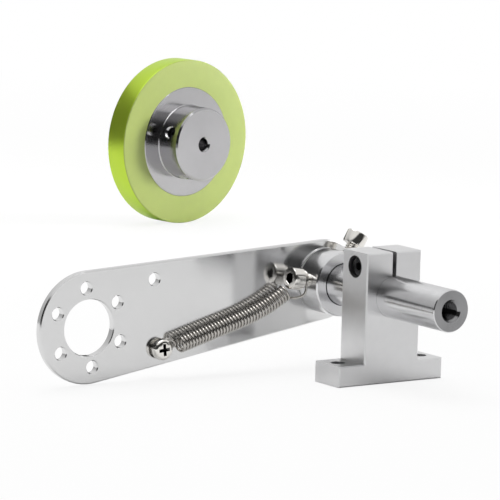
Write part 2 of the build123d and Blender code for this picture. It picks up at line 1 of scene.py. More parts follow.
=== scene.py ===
"""Looks of a sprung encoder arm on its clamp block, with the measuring wheel standing behind it.

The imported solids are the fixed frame.  Pieces whose solid already has the right shape keep it and get a
finish.  Screws, the tapped shaft, the tyre and the wound spring are modelled again with their threads,
drives, lips and coils.  Sizes are millimetres and angles degrees.  Meshes are brought to metres when they
are placed.
"""
import logging
import math
from dataclasses import dataclass, field
from enum import Enum
from typing import Any, Callable, ClassVar, NamedTuple, Sequence, Union

import bmesh
import bpy
from bpy.types import ID, Curve, Material, Mesh, Node, NodeTree, Object, World
from bpy.types import NodeSocket as Socket
from mathutils import Matrix, Vector


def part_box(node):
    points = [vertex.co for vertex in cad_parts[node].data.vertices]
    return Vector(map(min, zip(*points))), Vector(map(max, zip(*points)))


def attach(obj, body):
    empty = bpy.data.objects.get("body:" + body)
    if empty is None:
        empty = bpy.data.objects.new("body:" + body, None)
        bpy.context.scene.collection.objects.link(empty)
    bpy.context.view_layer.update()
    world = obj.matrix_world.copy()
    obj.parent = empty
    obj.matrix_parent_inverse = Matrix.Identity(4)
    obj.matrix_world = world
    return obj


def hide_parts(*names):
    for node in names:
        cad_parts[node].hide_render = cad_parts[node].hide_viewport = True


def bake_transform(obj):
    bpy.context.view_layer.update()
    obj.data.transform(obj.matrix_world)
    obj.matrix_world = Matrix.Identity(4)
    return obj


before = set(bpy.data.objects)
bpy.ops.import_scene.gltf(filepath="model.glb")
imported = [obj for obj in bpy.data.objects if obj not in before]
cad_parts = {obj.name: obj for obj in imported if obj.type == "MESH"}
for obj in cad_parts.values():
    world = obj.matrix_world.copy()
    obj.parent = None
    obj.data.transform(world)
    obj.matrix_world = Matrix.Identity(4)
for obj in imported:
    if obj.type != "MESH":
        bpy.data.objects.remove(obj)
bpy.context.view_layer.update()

Triple = tuple[float, float, float]
Span = tuple[float, float]
Radius = Union[float, Callable[[float], float]]
Knot = tuple[Vector, Vector]
Feed = Union[Socket, float, str, tuple[float, ...]]

LOG = logging.getLogger("encoder_arm")
METRES_PER_MM = 0.001
SEGMENTS = 96
SHARP_ANGLE = 30.0
WELD_DISTANCE = 0.0005
SHADE = "shade"
SHAFT_HEIGHT = 33.0
ARM_TILT = 6.0
RIGHT, BACK, UP = Vector((1.0, 0.0, 0.0)), Vector((0.0, 1.0, 0.0)), Vector((0.0, 0.0, 1.0))


class Ring(NamedTuple):
    """One ring of a turned skin; its painted shade, from none to black, lasts until the next ring."""

    height: float
    radius: Radius
    shade: float = 0.0


class Axle(NamedTuple):
    """Line that a turned piece was made about."""

    centre: Triple
    way: Triple


class Drive(Enum):
    """Ways in which a screw is turned."""

    HEX_SOCKET = "cap head with a hexagon socket"
    SET_SOCKET = "headless end with a hexagon socket"
    CROSS = "pan head with a cross recess"
    HEXAGON = "hexagon head"


class Grain(Enum):
    """Ways in which tool marks lie on a metal face, with the share of their size on each axis."""

    EVEN = (1.0, 1.0, 1.0)
    ALONG_ARM = (1.0 / 30.0, 1.0, 1.0)
    UPRIGHT = (1.0, 1.0, 1.0 / 30.0)
    RINGS = ()


class NodeSheet:
    """Adds nodes to a tree and fills their inputs with values or links."""

    MIX_FIRST, MIX_SECOND, MIX_RESULT = 6, 7, 2

    def __init__(self, tree: NodeTree) -> None:
        """Take over a tree and empty it.

        Args:
            tree: The shader or geometry tree that gets the nodes.
        """
        self.tree = tree
        tree.nodes.clear()

    @classmethod
    def of(cls, owner: Union[Material, World]) -> "NodeSheet":
        """Take over the tree of a material or of the world."""
        owner.use_nodes = True
        return cls(owner.node_tree)

    def add(self, kind: str, inputs: dict[Any, Feed] | None = None, **settings: Any) -> Node:
        """Add one node.

        Args:
            kind: Blender's name of the node's type.
            inputs: Values or sockets by the input's name or place.
            settings: Properties of the node itself.

        Returns:
            The new node.
        """
        node = self.tree.nodes.new(kind)
        for name, value in settings.items():
            setattr(node, name, value)
        for name, value in (inputs or {}).items():
            self.feed(node.inputs[name], value)
        return node

    def make(self, kind: str, inputs: dict[Any, Feed] | None = None, **settings: Any) -> Socket:
        """Add one node and return its first result."""
        return self.add(kind, inputs, **settings).outputs[0]

    def feed(self, socket: Socket, value: Feed) -> None:
        """Link an input, or set its value.

        Args:
            socket: The input.
            value: The socket that it is linked to, or its value.
        """
        if isinstance(value, Socket):
            self.tree.links.new(value, socket)
        else:
            socket.default_value = value

    def math(self, operation: str, *terms: Feed) -> Socket:
        """Add one sum, such as MULTIPLY or FRACT, and return its result."""
        return self.make("ShaderNodeMath", dict(enumerate(terms)), operation=operation)

    def vector(self, operation: str, *terms: Feed) -> Socket:
        """Add one vector sum and return the vector that it gives."""
        return self.make("ShaderNodeVectorMath", dict(enumerate(terms)), operation=operation)

    def measure(self, operation: str, *terms: Feed) -> Socket:
        """Add one vector sum, such as LENGTH, and return the number that it gives."""
        return self.add("ShaderNodeVectorMath", dict(enumerate(terms)), operation=operation).outputs["Value"]

    def ramp(self, value: Feed, low: Feed, high: Feed, start: float, end: float) -> Socket:
        """Map a value, so that low gives start and high gives end, and hold it there beyond them."""
        terms = {"Value": value, "From Min": low, "From Max": high, "To Min": start, "To Max": end}
        return self.make("ShaderNodeMapRange", terms, clamp=True)

    def mix(self, share: Socket, first: Feed, second: Feed) -> Socket:
        """Mix two colours.

        Args:
            share: How much of the second colour there is.
            first: The colour at none, as a socket or as three parts.
            second: The colour at one.

        Returns:
            The mixed colour's socket.
        """
        node = self.add("ShaderNodeMix", {"Factor": share}, data_type="RGBA")
        for index, colour in ((self.MIX_FIRST, first), (self.MIX_SECOND, second)):
            self.feed(node.inputs[index], colour if isinstance(colour, Socket) else (*colour, 1.0))
        return node.outputs[self.MIX_RESULT]

    def close(self, kind: str, surface: Socket) -> None:
        """End a shader tree with its output node."""
        self.add(kind, {"Surface": surface})


@dataclass(frozen=True)
class Finish:
    """A surface as it leaves the maker: its colour, its gloss and the marks on it."""

    slot: str
    colour: Triple
    roughness: float
    metallic: float = 1.0
    spread: float = 0.05
    mottle: float = 0.06
    mark_size: float = 0.25
    mark_height: float = 0.0006
    grain: Grain = Grain.EVEN
    tilt: float = 0.0
    anisotropy: float = 0.0
    axle: Axle | None = None
    specular: float = 0.5
    subsurface: float = 0.0
    # painted shade: the colour darkens towards the shade colour by the faces' shade, in recesses, holes and
    # on the shaft's end
    shaded: bool = False
    painted_shade_colour: Triple = (0.01, 0.01, 0.01)
    joint_shade_radius: float | None = None
    tread_radius: float | None = None
    tread_colour: Triple = (0.0, 0.0, 0.0)
    tread_sheen: float = 0.0

    def material(self, name: str) -> Material:
        """Make a material of this finish.

        Args:
            name: The material's name.

        Returns:
            The new material.
        """
        material = bpy.data.materials.new(name)
        material.use_nodes = True
        FinishTree(material.node_tree, self)
        return material


class FinishTree(NodeSheet):
    """Shader tree of a finish."""

    MOTTLE_SIZE, MOTTLE_DETAIL, MOTTLE_SPAN = 4.0, 4.0, (0.3, 0.7)
    MARK_DETAIL, MARK_SPAN = 3.0, (0.25, 0.75)
    HOOP_SHARE = 0.73
    OFF_GRAIN = 0.02
    EDGE_WIDTH = 0.12
    SUBSURFACE_RADIUS, SUBSURFACE_DEPTH = (1.0, 1.0, 0.4), 2.0

    def __init__(self, tree: NodeTree, finish: Finish) -> None:
        """Build the tree.

        Args:
            tree: The material's tree.
            finish: What the surface is like.
        """
        super().__init__(tree)
        self.finish = finish
        same_all_over = {
            "Metallic": finish.metallic,
            "Anisotropic": finish.anisotropy,
            "Specular IOR Level": finish.specular,
            "Subsurface Weight": finish.subsurface,
            "Subsurface Radius": self.SUBSURFACE_RADIUS,
            "Subsurface Scale": self.SUBSURFACE_DEPTH * METRES_PER_MM,
        }
        self.shader = self.add("ShaderNodeBsdfPrincipled", same_all_over)
        self.close("ShaderNodeOutputMaterial", self.shader.outputs["BSDF"])
        self.place = self.add("ShaderNodeTexCoord").outputs["Object"]
        self.add_colour()
        self.add_marks()

    def add_colour(self) -> None:
        """Give the colour a faint unevenness, its painted shade in recesses and at the shaft joint, and its
        tread where the piece has one.
        """
        finish, scale = self.finish, 1.0 / (self.MOTTLE_SIZE * METRES_PER_MM)
        noise = {"Vector": self.place, "Scale": scale, "Detail": self.MOTTLE_DETAIL}
        cloud = self.make("ShaderNodeTexNoise", noise)
        dark, light = (
            tuple(min(1.0, part * (1.0 + change)) for part in finish.colour)
            for change in (-finish.mottle, finish.mottle)
        )
        colour = self.mix(self.ramp(cloud, *self.MOTTLE_SPAN, 0.0, 1.0), dark, light)
        # painted shade in recesses, holes and on the shaft's end face
        if finish.shaded:
            depth = self.add("ShaderNodeAttribute", attribute_name=SHADE).outputs["Fac"]
            colour = self.mix(depth, colour, finish.painted_shade_colour)
        # painted shade: a dark ring on the collar's face where it meets the shaft
        if finish.joint_shade_radius is not None:
            colour = self.mix(self.step(finish.joint_shade_radius, 1.0, 0.0), colour, finish.painted_shade_colour)
        if finish.tread_radius is not None:
            tread = self.step(finish.tread_radius, 0.0, 1.0)
            colour = self.mix(tread, colour, finish.tread_colour)
            self.feed(self.shader.inputs["Metallic"], self.math("MULTIPLY", tread, finish.tread_sheen))
        self.feed(self.shader.inputs["Base Color"], colour)

    def about_axle(self) -> tuple[Socket, Socket]:
        """Find how a place lies about the axle.

        Returns:
            The arm from the axle's centre, and the way round the axle, as long as the place is far from it.
        """
        centre, way = self.finish.axle
        arm = self.vector("SUBTRACT", self.place, tuple(METRES_PER_MM * part for part in centre))
        return arm, self.vector("CROSS_PRODUCT", way, arm)

    def step(self, radius: float, inside: float, outside: float) -> Socket:
        """Pass from one value to another at a distance from the axle.

        Args:
            radius: Where the step begins.
            inside: The value nearer to the axle.
            outside: The value beyond the step.

        Returns:
            The value's socket.
        """
        reach = self.measure("LENGTH", self.about_axle()[1])
        ends = (edge * METRES_PER_MM for edge in (radius, radius + self.EDGE_WIDTH))
        return self.ramp(reach, *ends, inside, outside)

    def add_marks(self) -> None:
        """Let fine tool marks change the roughness and lift the surface a little."""
        finish, inputs = self.finish, self.shader.inputs
        lay = self.lathe_marks if finish.grain is Grain.RINGS else self.drawn_marks
        marks = lay(1.0 / (finish.mark_size * METRES_PER_MM))
        ends = finish.roughness - finish.spread, finish.roughness + finish.spread
        self.feed(inputs["Roughness"], self.ramp(marks, *self.MARK_SPAN, *ends))
        relief = {"Strength": 1.0, "Distance": finish.mark_height * METRES_PER_MM, "Height": marks}
        self.feed(inputs["Normal"], self.make("ShaderNodeBump", relief))

    def drawn_marks(self, scale: float) -> Socket:
        """Lay marks evenly or in straight lines.

        Args:
            scale: Count of marks in a metre.

        Returns:
            The pattern's socket.
        """
        grain, slope = self.finish.grain, math.radians(self.finish.tilt)
        if grain is Grain.ALONG_ARM:
            self.draw_gloss((math.cos(slope), self.OFF_GRAIN, math.sin(slope)))
        turned = self.make("ShaderNodeMapping", {"Vector": self.place, "Rotation": (0.0, slope, 0.0)})
        drawn = self.make("ShaderNodeMapping", {"Vector": turned, "Scale": grain.value})
        noise = {"Vector": drawn, "Scale": scale, "Detail": self.MARK_DETAIL}
        return self.make("ShaderNodeTexNoise", noise)

    def lathe_marks(self, scale: float) -> Socket:
        """Lay marks in rings on flat faces and in hoops on round ones.

        Args:
            scale: Count of marks in a metre.

        Returns:
            The pattern's socket.
        """
        arm, around = self.about_axle()
        self.draw_gloss(around)
        along = self.measure("DOT_PRODUCT", arm, self.finish.axle.way)
        run = self.math("MULTIPLY_ADD", along, self.HOOP_SHARE, self.measure("LENGTH", around))
        noise = {"W": self.math("MULTIPLY", run, scale), "Scale": 1.0, "Detail": self.MARK_DETAIL}
        return self.make("ShaderNodeTexNoise", noise, noise_dimensions="1D")

    def draw_gloss(self, lines: Feed) -> None:
        """Draw the gloss out across the tool marks.

        Args:
            lines: Direction of the marks, as a socket or as a vector.
        """
        spaces = {"vector_type": "VECTOR", "convert_from": "OBJECT", "convert_to": "WORLD"}
        world = self.make("ShaderNodeVectorTransform", {"Vector": lines}, **spaces)
        normal = self.add("ShaderNodeNewGeometry").outputs["Normal"]
        across = self.vector("NORMALIZE", self.vector("CROSS_PRODUCT", normal, world))
        self.feed(self.shader.inputs["Tangent"], across)


SHAFT_AXLE = Axle((0.0, 0.0, SHAFT_HEIGHT), (0.0, -1.0, 0.0))
WHEEL_AXLE = Axle((160.0, 389.0, 39.789), (0.152986, -0.988228, 0.0))

SATIN_BLOCK = Finish(
    "satin_aluminium", (0.74, 0.74, 0.745), 0.31, spread=0.02, mottle=0.015, grain=Grain.UPRIGHT,
    mark_size=0.15,
)
POLISHED_PLATE = Finish(
    "polished_aluminium", (0.74, 0.74, 0.74), 0.135, spread=0.015, mottle=0.01, mark_height=0.0001,
    grain=Grain.ALONG_ARM, tilt=ARM_TILT, anisotropy=0.75,
)
# its colour turns dark near the shaft: a painted shade ring where the collar meets the shaft
TURNED_COLLAR = Finish(
    "turned_aluminium", (0.78, 0.78, 0.79), 0.19, spread=0.04, mottle=0.02, mark_size=0.14,
    mark_height=0.0001, grain=Grain.RINGS, anisotropy=0.6, axle=SHAFT_AXLE, joint_shade_radius=8.22,
    painted_shade_colour=(0.06, 0.06, 0.065),
)
# the hub's colour is the collar's turned aluminium darkened: painted shade over the whole hub
SHADED_TURNED_HUB = Finish(
    "turned_aluminium", (0.46, 0.455, 0.465), 0.14, spread=0.025, mottle=0.02, mark_size=0.16,
    mark_height=0.0001, grain=Grain.RINGS, anisotropy=0.75, axle=WHEEL_AXLE,
)
GROUND_SHAFT = Finish(
    "ground_steel", (0.74, 0.74, 0.75), 0.18, spread=0.03, mottle=0.03, mark_size=0.16,
    mark_height=0.0001, grain=Grain.RINGS, anisotropy=0.88, axle=SHAFT_AXLE, shaded=True,
    painted_shade_colour=(0.02, 0.02, 0.022),
)
PLATED_SCREW = Finish(
    "plated_steel", (0.86, 0.84, 0.80), 0.1, spread=0.03, mottle=0.03, mark_height=0.0002, shaded=True
)
DRAWN_WIRE = Finish("spring_steel", (0.56, 0.54, 0.51), 0.14, mark_height=0.0003)
BLACKENED_SCREW = Finish(
    "black_steel", (0.012, 0.012, 0.014), 0.42, metallic=0.3, specular=0.3, mark_height=0.001, shaded=True
)
OILED_BRONZE = Finish("bush_bronze", (0.48, 0.30, 0.13), 0.33, mark_height=0.001)
SLIDING_PLASTIC = Finish("white_plastic", (0.82, 0.82, 0.80), 0.45, metallic=0.0, mottle=0.02)
# the face's colour is the tyre's green made paler and greyer than the tread's: partly the tyre's own colour,
# partly painted reflection
GREEN_TYRE = Finish(
    "green_polyurethane", (0.325, 0.39, 0.112), 0.36, metallic=0.0, mottle=0.02, mark_height=0.001,
    subsurface=0.1, axle=WHEEL_AXLE, tread_radius=39.62, tread_colour=(0.54, 0.75, 0.06), tread_sheen=0.75,
)


class Bench:
    """Makes plain meshes and turns them into placed pieces."""

    @staticmethod
    def show(name: str, data: ID) -> Object:
        """Put an object into the scene.

        Args:
            name: The object's name.
            data: Its mesh, curve, light or camera.

        Returns:
            The new object, at the origin.
        """
        made = bpy.data.objects.new(name, data)
        bpy.context.scene.collection.objects.link(made)
        return made

    @staticmethod
    def sheet(name: str, corners: Sequence[Vector], material: Material) -> Object:
        """Make a flat sheet.

        Args:
            name: Its name.
            corners: Its four corners in millimetres.
            material: Its material.

        Returns:
            The new object.
        """
        mesh = bpy.data.meshes.new(name)
        mesh.from_pydata([tuple(corner * METRES_PER_MM) for corner in corners], [], [(0, 1, 2, 3)])
        mesh.materials.append(material)
        return Bench.show(name, mesh)

    @staticmethod
    def turned(name: str, rings: Sequence[Ring], closed: tuple[bool, bool]) -> Mesh:
        """Make a turned skin from rings along its axis.

        Args:
            name: The mesh's name.
            rings: The rings in order; a radius may change with the angle.
            closed: Whether the first and the last ring are filled to the axis.

        Returns:
            The mesh, in the units of the rings, with its painted shade on the faces.
        """
        points: list[Triple] = []
        faces: list[tuple[int, ...]] = []
        shades: list[float] = []
        for ring in rings:
            for index in range(SEGMENTS):
                angle = math.tau * index / SEGMENTS
                reach = ring.radius(angle) if callable(ring.radius) else ring.radius
                points.append((reach * math.cos(angle), reach * math.sin(angle), ring.height))
        sides = [(index, (index + 1) % SEGMENTS) for index in range(SEGMENTS)]
        for place, ring in enumerate(rings[:-1]):
            low, high = place * SEGMENTS, (place + 1) * SEGMENTS
            faces += [(low + here, low + beside, high + beside, high + here) for here, beside in sides]
            shades += [ring.shade] * SEGMENTS
        for place, fill in zip((0, len(rings) - 1), closed):
            if fill:
                low = place * SEGMENTS
                faces += [(low + here, low + beside, len(points)) for here, beside in sides]
                shades += [rings[place].shade] * SEGMENTS
                points.append((0.0, 0.0, rings[place].height))
        mesh = bpy.data.meshes.new(name)
        mesh.from_pydata(points, [], faces)
        mesh.attributes.new(SHADE, "FLOAT", "FACE").data.foreach_set("value", shades)
        return mesh

    @staticmethod
    def piece(mesh: Mesh, material: Material) -> Object:
        """Weld a mesh, turn its faces outwards, bring it to metres and show it as a piece at the origin.

        Args:
            mesh: The mesh in millimetres, already at its place and with the piece's name.
            material: Its finish.

        Returns:
            The new object.
        """
        work = bmesh.new()
        work.from_mesh(mesh)
        bmesh.ops.remove_doubles(work, verts=work.verts, dist=WELD_DISTANCE)
        bmesh.ops.recalc_face_normals(work, faces=work.faces)
        work.to_mesh(mesh)
        work.free()
        mesh.shade_smooth()
        mesh.set_sharp_from_angle(angle=math.radians(SHARP_ANGLE))
        mesh.transform(Matrix.Scale(METRES_PER_MM, 4))
        mesh.materials.clear()
        mesh.materials.append(material)
        return Bench.show(mesh.name, mesh)

    @staticmethod
    def stand_for(made: Object, node: str, finish: Finish) -> None:
        """Let a new piece, which already rides on the frame, take a solid's place.

        Args:
            made: The piece.
            node: Name of the solid.
            finish: Not used.
        """
        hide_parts(node)
        LOG.info("%s stands for %s, %d faces", made.name, node, len(made.data.polygons))

    @staticmethod
    def dress(node: str, finish: Finish) -> None:
        """Give a solid of the frame its finish.

        Args:
            node: Name of the solid.
            finish: Its finish.
        """
        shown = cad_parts[node]
        material = finish.material(node + "_finish")
        for index in range(len(shown.data.materials)):
            shown.data.materials[index] = material
        LOG.info("%s keeps its solid, finished as %s", node, finish.slot)

    @staticmethod
    def upright(centre: Vector, way: Vector, aside: Vector) -> Matrix:
        """Place with a centre, its Z axis along a way and its X axis aside, which is square to the way."""
        turn = Matrix((aside, way.cross(aside), way)).transposed()
        return Matrix.Translation(centre) @ turn.to_4x4()


class ShapeTree(NodeSheet):
    """Geometry tree with named inputs, which gives one plain mesh with its finish."""

    def __init__(self, name: str, inputs: dict[str, str]) -> None:
        """Start the tree.

        Args:
            name: The tree's name.
            inputs: Kind of socket of each named input, besides the start shape and the material.
        """
        super().__init__(bpy.data.node_groups.new(name, "GeometryNodeTree"))
        face = self.tree.interface
        for label, kind in {"Geometry": "Geometry", **inputs, "Material": "Material"}.items():
            face.new_socket(label, in_out="INPUT", socket_type="NodeSocket" + kind)
        face.new_socket("Geometry", in_out="OUTPUT", socket_type="NodeSocketGeometry")
        self.given = self.add("NodeGroupInput").outputs

    def hand_out(self, shape: Socket) -> None:
        """Make the copies real, set the finish and end the tree.

        Args:
            shape: The finished shape.
        """
        real = self.make("GeometryNodeRealizeInstances", {"Geometry": shape})
        dressed = {"Geometry": real, "Material": self.given["Material"]}
        self.add("NodeGroupOutput", {"Geometry": self.make("GeometryNodeSetMaterial", dressed)})

    def bake(self, start: ID, inputs: dict[str, Any], name: str) -> Mesh:
        """Run the tree on a start shape and keep the result as a plain mesh.

        Args:
            start: Mesh or curve data that the tree begins with.
            inputs: Values of the tree's inputs by their names.
            name: The new mesh's name.

        Returns:
            The baked mesh, in the units of the start shape.
        """
        holder = Bench.show(name + "_start", start)
        modifier = holder.modifiers.new("shape", "NODES")
        modifier.node_group = self.tree
        for item in self.tree.interface.items_tree:
            if item.in_out == "INPUT" and item.name in inputs:
                modifier[item.identifier] = inputs[item.name]
        graph = bpy.context.evaluated_depsgraph_get()
        mesh = bpy.data.meshes.new_from_object(holder.evaluated_get(graph), depsgraph=graph)
        mesh.name = name
        holder.modifiers.remove(modifier)
        bpy.data.objects.remove(holder)
        return mesh


@dataclass(frozen=True)
class Thread:
    """Sizes of a thread that runs down from its start, and the painted shade on it."""

    ROWS_PER_TURN = 8

    root: float
    crest: float
    pitch: float
    length: float
    end_depth: float = 0.01
    shade: float = 0.0

    def inputs(self) -> dict[str, float]:
        """Fill the screw tree's inputs.

        Returns:
            The values by the inputs' names; the count of rows comes from the turns.
        """
        return {
            "Root radius": self.root, "Crest radius": self.crest, "Pitch": self.pitch, "Length": self.length,
            "End depth": self.end_depth, "Thread shade": self.shade,
            "Rows": int(self.length / self.pitch * self.ROWS_PER_TURN) + 1,
        }


class ScrewTree(ShapeTree):
    """Geometry tree of a threaded screw or hole: a thread that follows a helix, its end, and the copies."""

    NUMBERS = ("Root radius", "Crest radius", "Pitch", "Length", "End depth", "Thread shade")
    FLANK_SPAN = (0.12, 0.84)
    RUN_IN_TURNS = 0.5
    TURN = "turn"

    def __init__(self) -> None:
        """Join head, thread and end, put a copy at every place and make them one mesh."""
        sizes = dict.fromkeys(self.NUMBERS, "Float")
        super().__init__("threaded_screw", {"Head": "Object", "Rows": "Int", **sizes})
        head = self.add("GeometryNodeObjectInfo", {"Object": self.given["Head"]}).outputs["Geometry"]
        joined = self.add("GeometryNodeJoinGeometry")
        for part in (head, self.with_painted_shade(self.thread()), self.with_painted_shade(self.end())):
            self.feed(joined.inputs["Geometry"], part)
        weld = {"Geometry": joined.outputs[0], "Distance": WELD_DISTANCE}
        whole = self.make("GeometryNodeMergeByDistance", weld)
        turn = self.make("GeometryNodeInputNamedAttribute", {"Name": self.TURN}, data_type="FLOAT_VECTOR")
        rotation = self.make("FunctionNodeEulerToRotation", {"Euler": turn})
        places = {"Points": self.given["Geometry"], "Instance": whole, "Rotation": rotation}
        self.hand_out(self.make("GeometryNodeInstanceOnPoints", places))

    def with_painted_shade(self, part: Socket) -> Socket:
        """Keep the thread's painted shade on the faces of a part and return the part."""
        shade = {"Geometry": part, "Name": SHADE, "Value": self.given["Thread shade"]}
        return self.make("GeometryNodeStoreNamedAttribute", shade, domain="FACE")

    def thread(self) -> Socket:
        """Roll a flat grid into a tube whose radius rises and falls along a helix.

        Returns:
            The thread's socket.
        """
        given = self.given
        size = {"Size X": 1.0, "Size Y": 1.0, "Vertices X": SEGMENTS + 1, "Vertices Y": given["Rows"]}
        grid = self.make("GeometryNodeMeshGrid", size)
        spot = self.add("ShaderNodeSeparateXYZ", {0: self.make("GeometryNodeInputPosition")}).outputs
        around = self.math("ADD", spot["X"], 0.5)
        run = self.math("MULTIPLY", self.math("ADD", spot["Y"], 0.5), given["Length"])
        turns = self.math("DIVIDE", run, given["Pitch"])
        phase = self.math("FRACT", self.math("SUBTRACT", turns, around))
        folded = self.math("ABSOLUTE", self.math("MULTIPLY_ADD", phase, 2.0, -1.0))
        flank = self.math("SUBTRACT", 1.0, folded)
        profile = self.ramp(flank, *self.FLANK_SPAN, 0.0, 1.0)
        run_in = self.ramp(run, 0.0, self.math("MULTIPLY", given["Pitch"], self.RUN_IN_TURNS), 0.0, 1.0)
        last = self.math("SUBTRACT", given["Length"], given["Pitch"])
        run_out = self.ramp(run, last, given["Length"], 1.0, 0.0)
        height = self.math("SUBTRACT", given["Crest radius"], given["Root radius"])
        full = self.math("MULTIPLY", profile, height)
        rise = self.math("MULTIPLY", full, self.math("MULTIPLY", run_in, run_out))
        radius = self.math("ADD", given["Root radius"], rise)
        angle = self.math("MULTIPLY", around, math.tau)
        rolled = {
            "X": self.math("MULTIPLY", radius, self.math("COSINE", angle)),
            "Y": self.math("MULTIPLY", radius, self.math("SINE", angle)),
            "Z": self.math("MULTIPLY", run, -1.0),
        }
        moved = {"Geometry": grid, "Position": self.make("ShaderNodeCombineXYZ", rolled)}
        return self.make("GeometryNodeSetPosition", moved)

    def end(self) -> Socket:
        """Close the far end of the thread with a cone.

        Returns:
            The cone's socket.
        """
        given = self.given
        shape = {
            "Vertices": SEGMENTS, "Radius Top": 0.0, "Radius Bottom": given["Root radius"],
            "Depth": given["End depth"],
        }
        cone = self.make("GeometryNodeMeshCone", shape, fill_type="NONE")
        down = self.math("MULTIPLY", given["Length"], -1.0)
        shift = self.make("ShaderNodeCombineXYZ", {"Z": down})
        placed = {"Geometry": cone, "Translation": shift, "Rotation": (math.pi, 0.0, 0.0)}
        return self.make("GeometryNodeTransform", placed)

    def cut(
        self, start: Mesh, thread: Thread, places: Sequence[Matrix], name: str, material: Material
    ) -> Mesh:
        """Make the threaded pieces of one node.

        Args:
            start: Everything but the thread, open where the thread begins, at the origin.
            thread: Sizes of the thread, which runs down from the origin.
            places: Where each copy goes.
            name: The mesh's name.
            material: The finish that the tree sets.

        Returns:
            One mesh with every copy, in millimetres.
        """
        points = bpy.data.meshes.new(name + "_places")
        points.from_pydata([tuple(place.translation) for place in places], [], [])
        turns = points.attributes.new(self.TURN, "FLOAT_VECTOR", "POINT")
        for turn, place in zip(turns.data, places):
            turn.vector = Vector(place.to_euler("XYZ"))
        model = Bench.show(name + "_model", start)
        mesh = self.bake(points, {"Head": model, "Material": material, **thread.inputs()}, name)
        bpy.data.objects.remove(model)
        return mesh


class WireTree(ShapeTree):
    """Geometry tree that draws a round wire along a curve."""

    def __init__(self) -> None:
        """Build the tree with its named inputs."""
        super().__init__("drawn_wire", {"Wire radius": "Float", "Sides": "Int"})
        section = {"Resolution": self.given["Sides"], "Radius": self.given["Wire radius"]}
        circle = self.make("GeometryNodeCurvePrimitiveCircle", section)
        drawn = {"Curve": self.given["Geometry"], "Profile Curve": circle, "Fill Caps": True}
        self.hand_out(self.make("GeometryNodeCurveToMesh", drawn))


